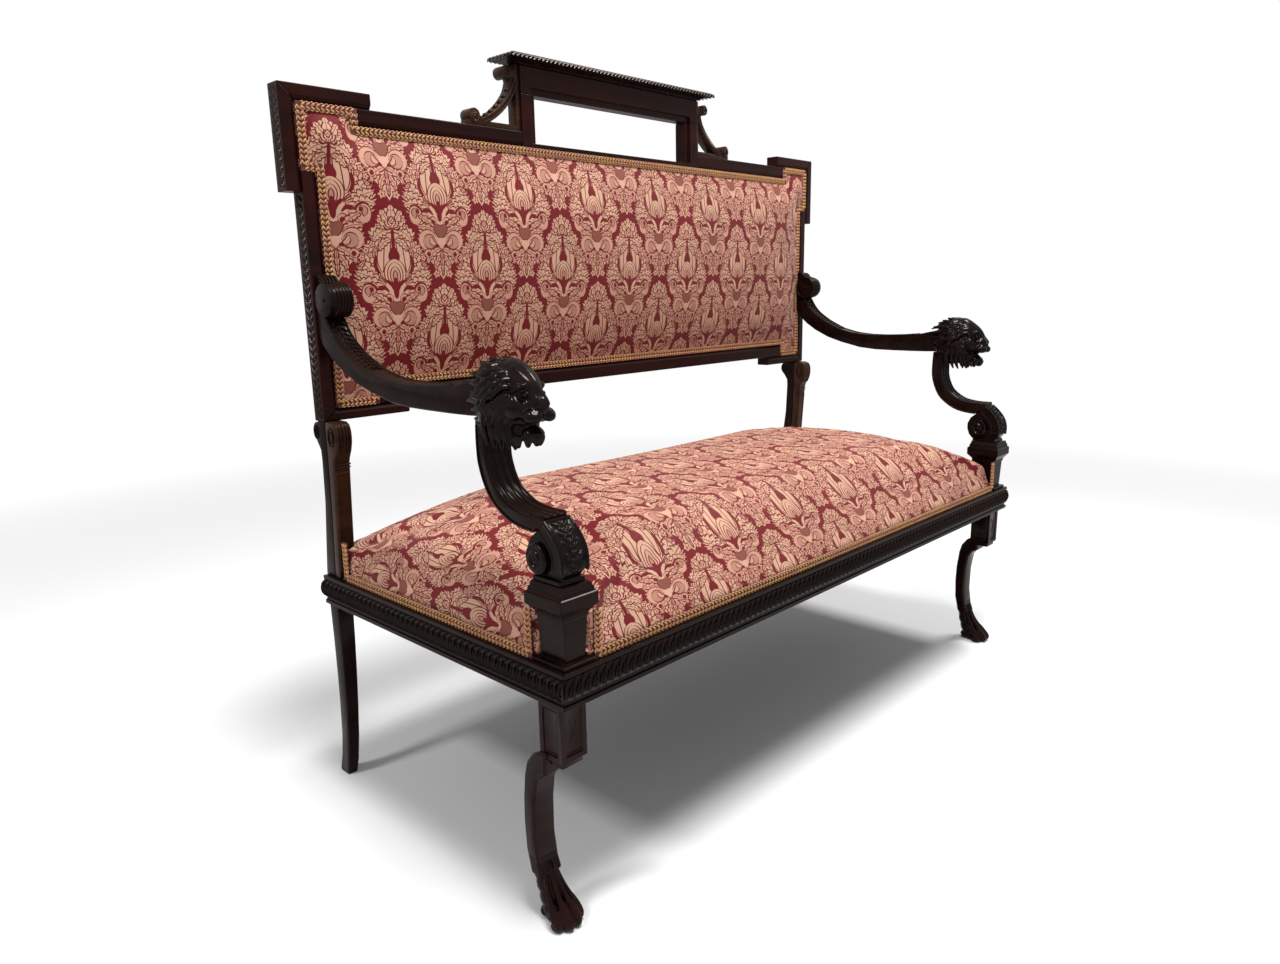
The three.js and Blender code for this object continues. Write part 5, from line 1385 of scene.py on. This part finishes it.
def makeArmCarving(look):
    line = [(look["start"] + y * look["run"], look["soffit"] + z * look["rise"]) for y, z in look["top"]]

    def middle(y):
        return -606 - look["splay"] * (y - look["start"]) / look["run"]

    parts = []
    for side in (-1, 1):
        points = [(middle(y) + side * (look["halfWidth"] - 1.2), y, z) for y, z, along, out in walkLine(line, 22)]
        parts.append(rod(points, 1.5))
    for y, z, along, out in walkLine(line[:look["leafPoints"]], look["leafCount"]):
        lay = layFrom(middle(y), y, z, along, -1 * out)
        parts.append(rod([lay(0, -4, 0.4), lay(0, 5, 0.8)], [2.0, 1.0]))
        for side in (-1, 1):
            points = [lay(side * 1.5, -3, 0.4), lay(side * 6, 0, 1.4), lay(side * 11, 6, 0.6)]
            parts.append(rod(points, [1.4, 2.2, 0.9]))
    rollY, rollZ, radius = look["roll"]
    for x in look["ribs"]:
        bpy.ops.mesh.primitive_torus_add(
            major_radius=radius / 1000, minor_radius=0.0026, major_segments=40, minor_segments=8,
        )
        ring = bpy.context.object
        ring.data.transform(Matrix.Translation(at(x, rollY, rollZ)) @ Matrix.Rotation(math.radians(90), 4, "Y"))
        parts.append(ring)
    parts += [ball((x, rollY, rollZ), (1.8, 3.2, 3.2)) for x in look["ends"]]
    for x in look["crestLeaves"]:
        parts.append(rod([(x, y, z) for y, z in look["crestLeaf"]], [1.6, 2.8, 2.8, 1.8]))
    layLeft(parts, "ArmCarving", "darkWoodY")


makeArmCarving(arm)

post = {
    "bands": [(535.4, 1.5), (530.8, 1.1)],
    "panel": (-627.6, -607.4, 368, 522),
    "frameWidth": 1.3,
    "leaves": [-627.5, -622.6, -617.5, -612.4, -607.5],
    "noseLine": [(513, 598), (504.5, 597.5), (500.2, 588), (499.8, 575), (501.5, 563), (505.5, 552)],
    # how far back, height, half sizes
    "ovals": [(513.5, 578, 8.5, 15), (558.0, 583, 6.0, 10)],
    "ovalSides": (-631.2, -603.8),
}


# The console's front face leans back towards its foot
def consoleFace(z):
    return float(np.interp(z, [356, 400, 470, 530, 536], [525.6, 522.4, 517.5, 513.0, 512.6]))


def makePostCarving(look):
    parts = []
    left, right, low, high = look["panel"]
    for z, width in look["bands"]:
        parts.append(rod([(-631, consoleFace(z) - 0.3, z), (-604, consoleFace(z) - 0.3, z)], width))
    for x in (left, right):
        parts.append(rod([(x, consoleFace(z), z) for z in (low, 400, 470, high)], look["frameWidth"]))
    for z in (low, high):
        parts.append(rod([(left, consoleFace(z), z), (right, consoleFace(z), z)], look["frameWidth"]))
    for i, x in enumerate(look["leaves"]):
        sway = 1.2 if i % 2 else -0.6
        parts.append(rod([(x, y - 0.2 + sway * 0.5, z) for y, z in look["noseLine"]], [1.2, 2.2, 2.7, 2.8, 2.4, 1.2]))
    layLeft(parts, "PostCarving", "warmWoodZ")
    rings = []
    for y, z, deep, tall in look["ovals"]:
        for x in look["ovalSides"]:
            for share, width in ((1.0, 1.1), (0.6, 0.9)):
                angles = [step * math.tau / 16 for step in range(17)]
                loop = [(x, y + share * deep * math.cos(a), z + share * tall * math.sin(a)) for a in angles]
                rings.append(rod(loop, width))
    layLeft(rings, "PostOvals", "darkWoodZ")


makePostCarving(post)

legBlock = {
    "sides": (-630.4, -592.6),
    "deep": (15.6, 54.0),
    "high": (238.5, 303),
    "inset": 6,
    "fillet": 1.5,
    "cross": 0.45,
}


def makeLegBlocks(look):
    (left, right), (front, back), (low, high) = look["sides"], look["deep"], look["high"]
    inset = look["inset"]
    parts = []

    def loop(points):
        for first, last in zip(points, points[1:] + points[:1]):
            parts.append(rod([first, last], look["fillet"]))

    a, b, c, d = left + inset, right - inset, low + inset - 2, high - inset + 2
    for y in (front, back):
        loop([(a, y, c), (b, y, c), (b, y, d), (a, y, d)])
    for x in (left, right):
        loop([(x, front + inset, c), (x, back - inset, c), (x, back - inset, d), (x, front + inset, d)])
    parts.append(rod([(a + 7, front, c + 14), (b - 7, front, d - 14)], look["cross"]))
    parts.append(rod([(b - 7, front, c + 14), (a + 7, front, d - 14)], look["cross"]))
    layLeft(parts, "LegBlock", "redWoodZ")


makeLegBlocks(legBlock)
print("arms, supports, posts and legs carved")

# Crest: a band of slanting leaves on the cornice, leaves and spirals on the brackets

crest = {
    "pitch": 9.0,
    "half": 261,
    "front": 503.3,
    "back": 570.7,
    "height": 1165.6,
    "leaf": [(-3.6, -3.0), (0.2, -0.6), (3.6, 2.8)],
    "leafWidths": [1.0, 2.2, 1.0],
    "spirals": [(-326.0, 1062.3), (-256.5, 1141.0)],
    "bracketLine": [
        (-311, 1059.5), (-299, 1063.5), (-282, 1074), (-266, 1087), (-252, 1102), (-243, 1117), (-240, 1131),
    ],
    "bracketFaces": (526.2, 551.8),
    "serrations": 8,
    "serrationDepth": (532, 546),
}


def makeCrestCarving(look):
    unit = rod([(x, -frontEdge, z) for x, z in look["leaf"]], look["leafWidths"], 0)
    half, height, pitch = look["half"], look["height"], look["pitch"] / 1000
    front, back = look["front"], look["back"]
    places = placesAlong([at(-half, front, height), at(half, front, height)], pitch, Vector((0, -1, 0)))
    places += placesAlong([at(-half - 1, back, height), at(-half - 1, front, height)], pitch, Vector((-1, 0, 0)))
    places += placesAlong([at(half + 1, front, height), at(half + 1, back, height)], pitch, Vector((1, 0, 0)))
    places += placesAlong([at(half, back, height), at(-half, back, height)], pitch, Vector((0, 1, 0)))
    # the cornice leaves take the finish with painted highlight, pale glints painted into their colour along the band
    dress(repeatUnit(unit, places, "corniceLeaves"), wood["rubbedWoodX"])
    dropPiece(unit)
    parts = []
    line = look["bracketLine"]
    near, far = look["serrationDepth"]
    for x, z, along, out in walkLine(line, look["serrations"]):
        points = [(x + 3, near, z - 3), (x - 3.5, near, z + 4.5), (x - 3.5, far, z + 4.5), (x + 3, far, z - 3)]
        parts.append(rod(points, [2.0, 2.8, 2.8, 2.0]))
    for y in look["bracketFaces"]:
        for x, z in look["spirals"]:
            spiral = []
            for i in range(22):
                angle, radius = i / 21 * 1.5 * math.tau, 8.0 - 6.0 * i / 21
                spiral.append((x - radius * math.cos(angle), y, z + radius * math.sin(angle)))
            parts.append(rod(spiral, 1.1))
        for shift in (-3.4, 3.4):
            parts.append(rod([(x + shift * 0.7, y, z - shift * 0.7) for x, z in line], 0.9))
    layLeft(parts, "BracketCarving", "warmWoodZ")


makeCrestCarving(crest)

# Twisted leaf strips on the outer sides of the ears and stiles

strips = {
    "pitch": 11.0,
    # side, foot and head of each run
    "runs": [(-656.0, 934, 1070), (-633.0, 606, 926)],
    "middle": 539.0,
    "leaves": [
        ([(-6.5, -7.5), (-2.0, -5.5), (1.5, 1.0), (6.5, 6.5)], [0.7, 1.9, 1.9, 0.7]),
        ([(-4.5, 2.5), (-1.5, 6.5), (2.5, 9.0)], [0.6, 1.5, 0.6]),
        ([(-2.5, -9.0), (1.5, -6.5), (4.5, -2.5)], [0.6, 1.5, 0.6]),
    ],
}


def makeStrips(look):
    parts = [rod([(x, -frontEdge, z) for x, z in points], widths, 0) for points, widths in look["leaves"]]
    unit = joinPieces(parts, "stripUnit")
    places = []
    for x, low, high in look["runs"]:
        ends = [at(x, look["middle"], z) for z in (low, high)]
        places += placesAlong(ends, look["pitch"] / 1000, Vector((-1, 0, 0)))
    left = repeatUnit(unit, places, "leftLeafStrips")
    dropPiece(unit)
    finishPair(left, "LeafStrips", "darkWoodZ")


makeStrips(strips)
print("crest and strips carved")

# Back and underside: damask outside back, black dust cover, jute webbing, canvas and springs

# light and dark threads, pitch, roughness, the nodes that wear it
cloths = {
    "dustCloth": ((0.02, 0.02, 0.022, 1), (0.008, 0.008, 0.009, 1), 1.6, 0.9, ["dust_cover"]),
    "jute": ((0.42, 0.29, 0.15, 1), (0.22, 0.14, 0.07, 1), 3.2, 0.9, ["seat_webbing", "back_webbing"]),
    "hessian": ((0.4, 0.29, 0.17, 1), (0.2, 0.13, 0.07, 1), 2.2, 0.95, ["spring_canvas"]),
}


def makeWoven(name, light, dark, pitch, roughness):
    material, tree, shader = newMaterial(name)
    x, y, z = parted(tree, objectPlace(tree))
    step = math.tau * 1000 / pitch
    across = calc(tree, "SINE", times(tree, x, step))
    deep = calc(tree, "SINE", times(tree, plus(tree, y, z), step))
    weave = spread(tree, times(tree, across, deep), -1, 1)
    feedAll(tree, shader, {
        "Base Color": blendColours(tree, weave, dark, light),
        "Roughness": roughness,
        "Specular IOR Level": 0.15,
        "Normal": bump(tree, weave, 0.4, 0.0004),
    })
    return material


for name, (*look, members) in cloths.items():
    woven = makeWoven(name, *look)
    for member in members:
        paint(nodes[member], woven)

springSteel, steelTree, steelShader = newMaterial("springSteel")
rust = noise(steelTree, objectPlace(steelTree), 40.0)
feedAll(steelTree, steelShader, {
    "Base Color": (0.32, 0.27, 0.22, 1),
    "Metallic": 1.0,
    "Roughness": spread(steelTree, rust, 0.3, 0.7, 0.3, 0.5),
})
paint(nodes["lashed_springs"], springSteel)

outsideBack = copyOfNode("outside_back_cover", "outsideBack")
layCloth(outsideBack, unrollBack)
dress(outsideBack, damaskCloth)
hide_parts("outside_back_cover")
print("back and underside finished")
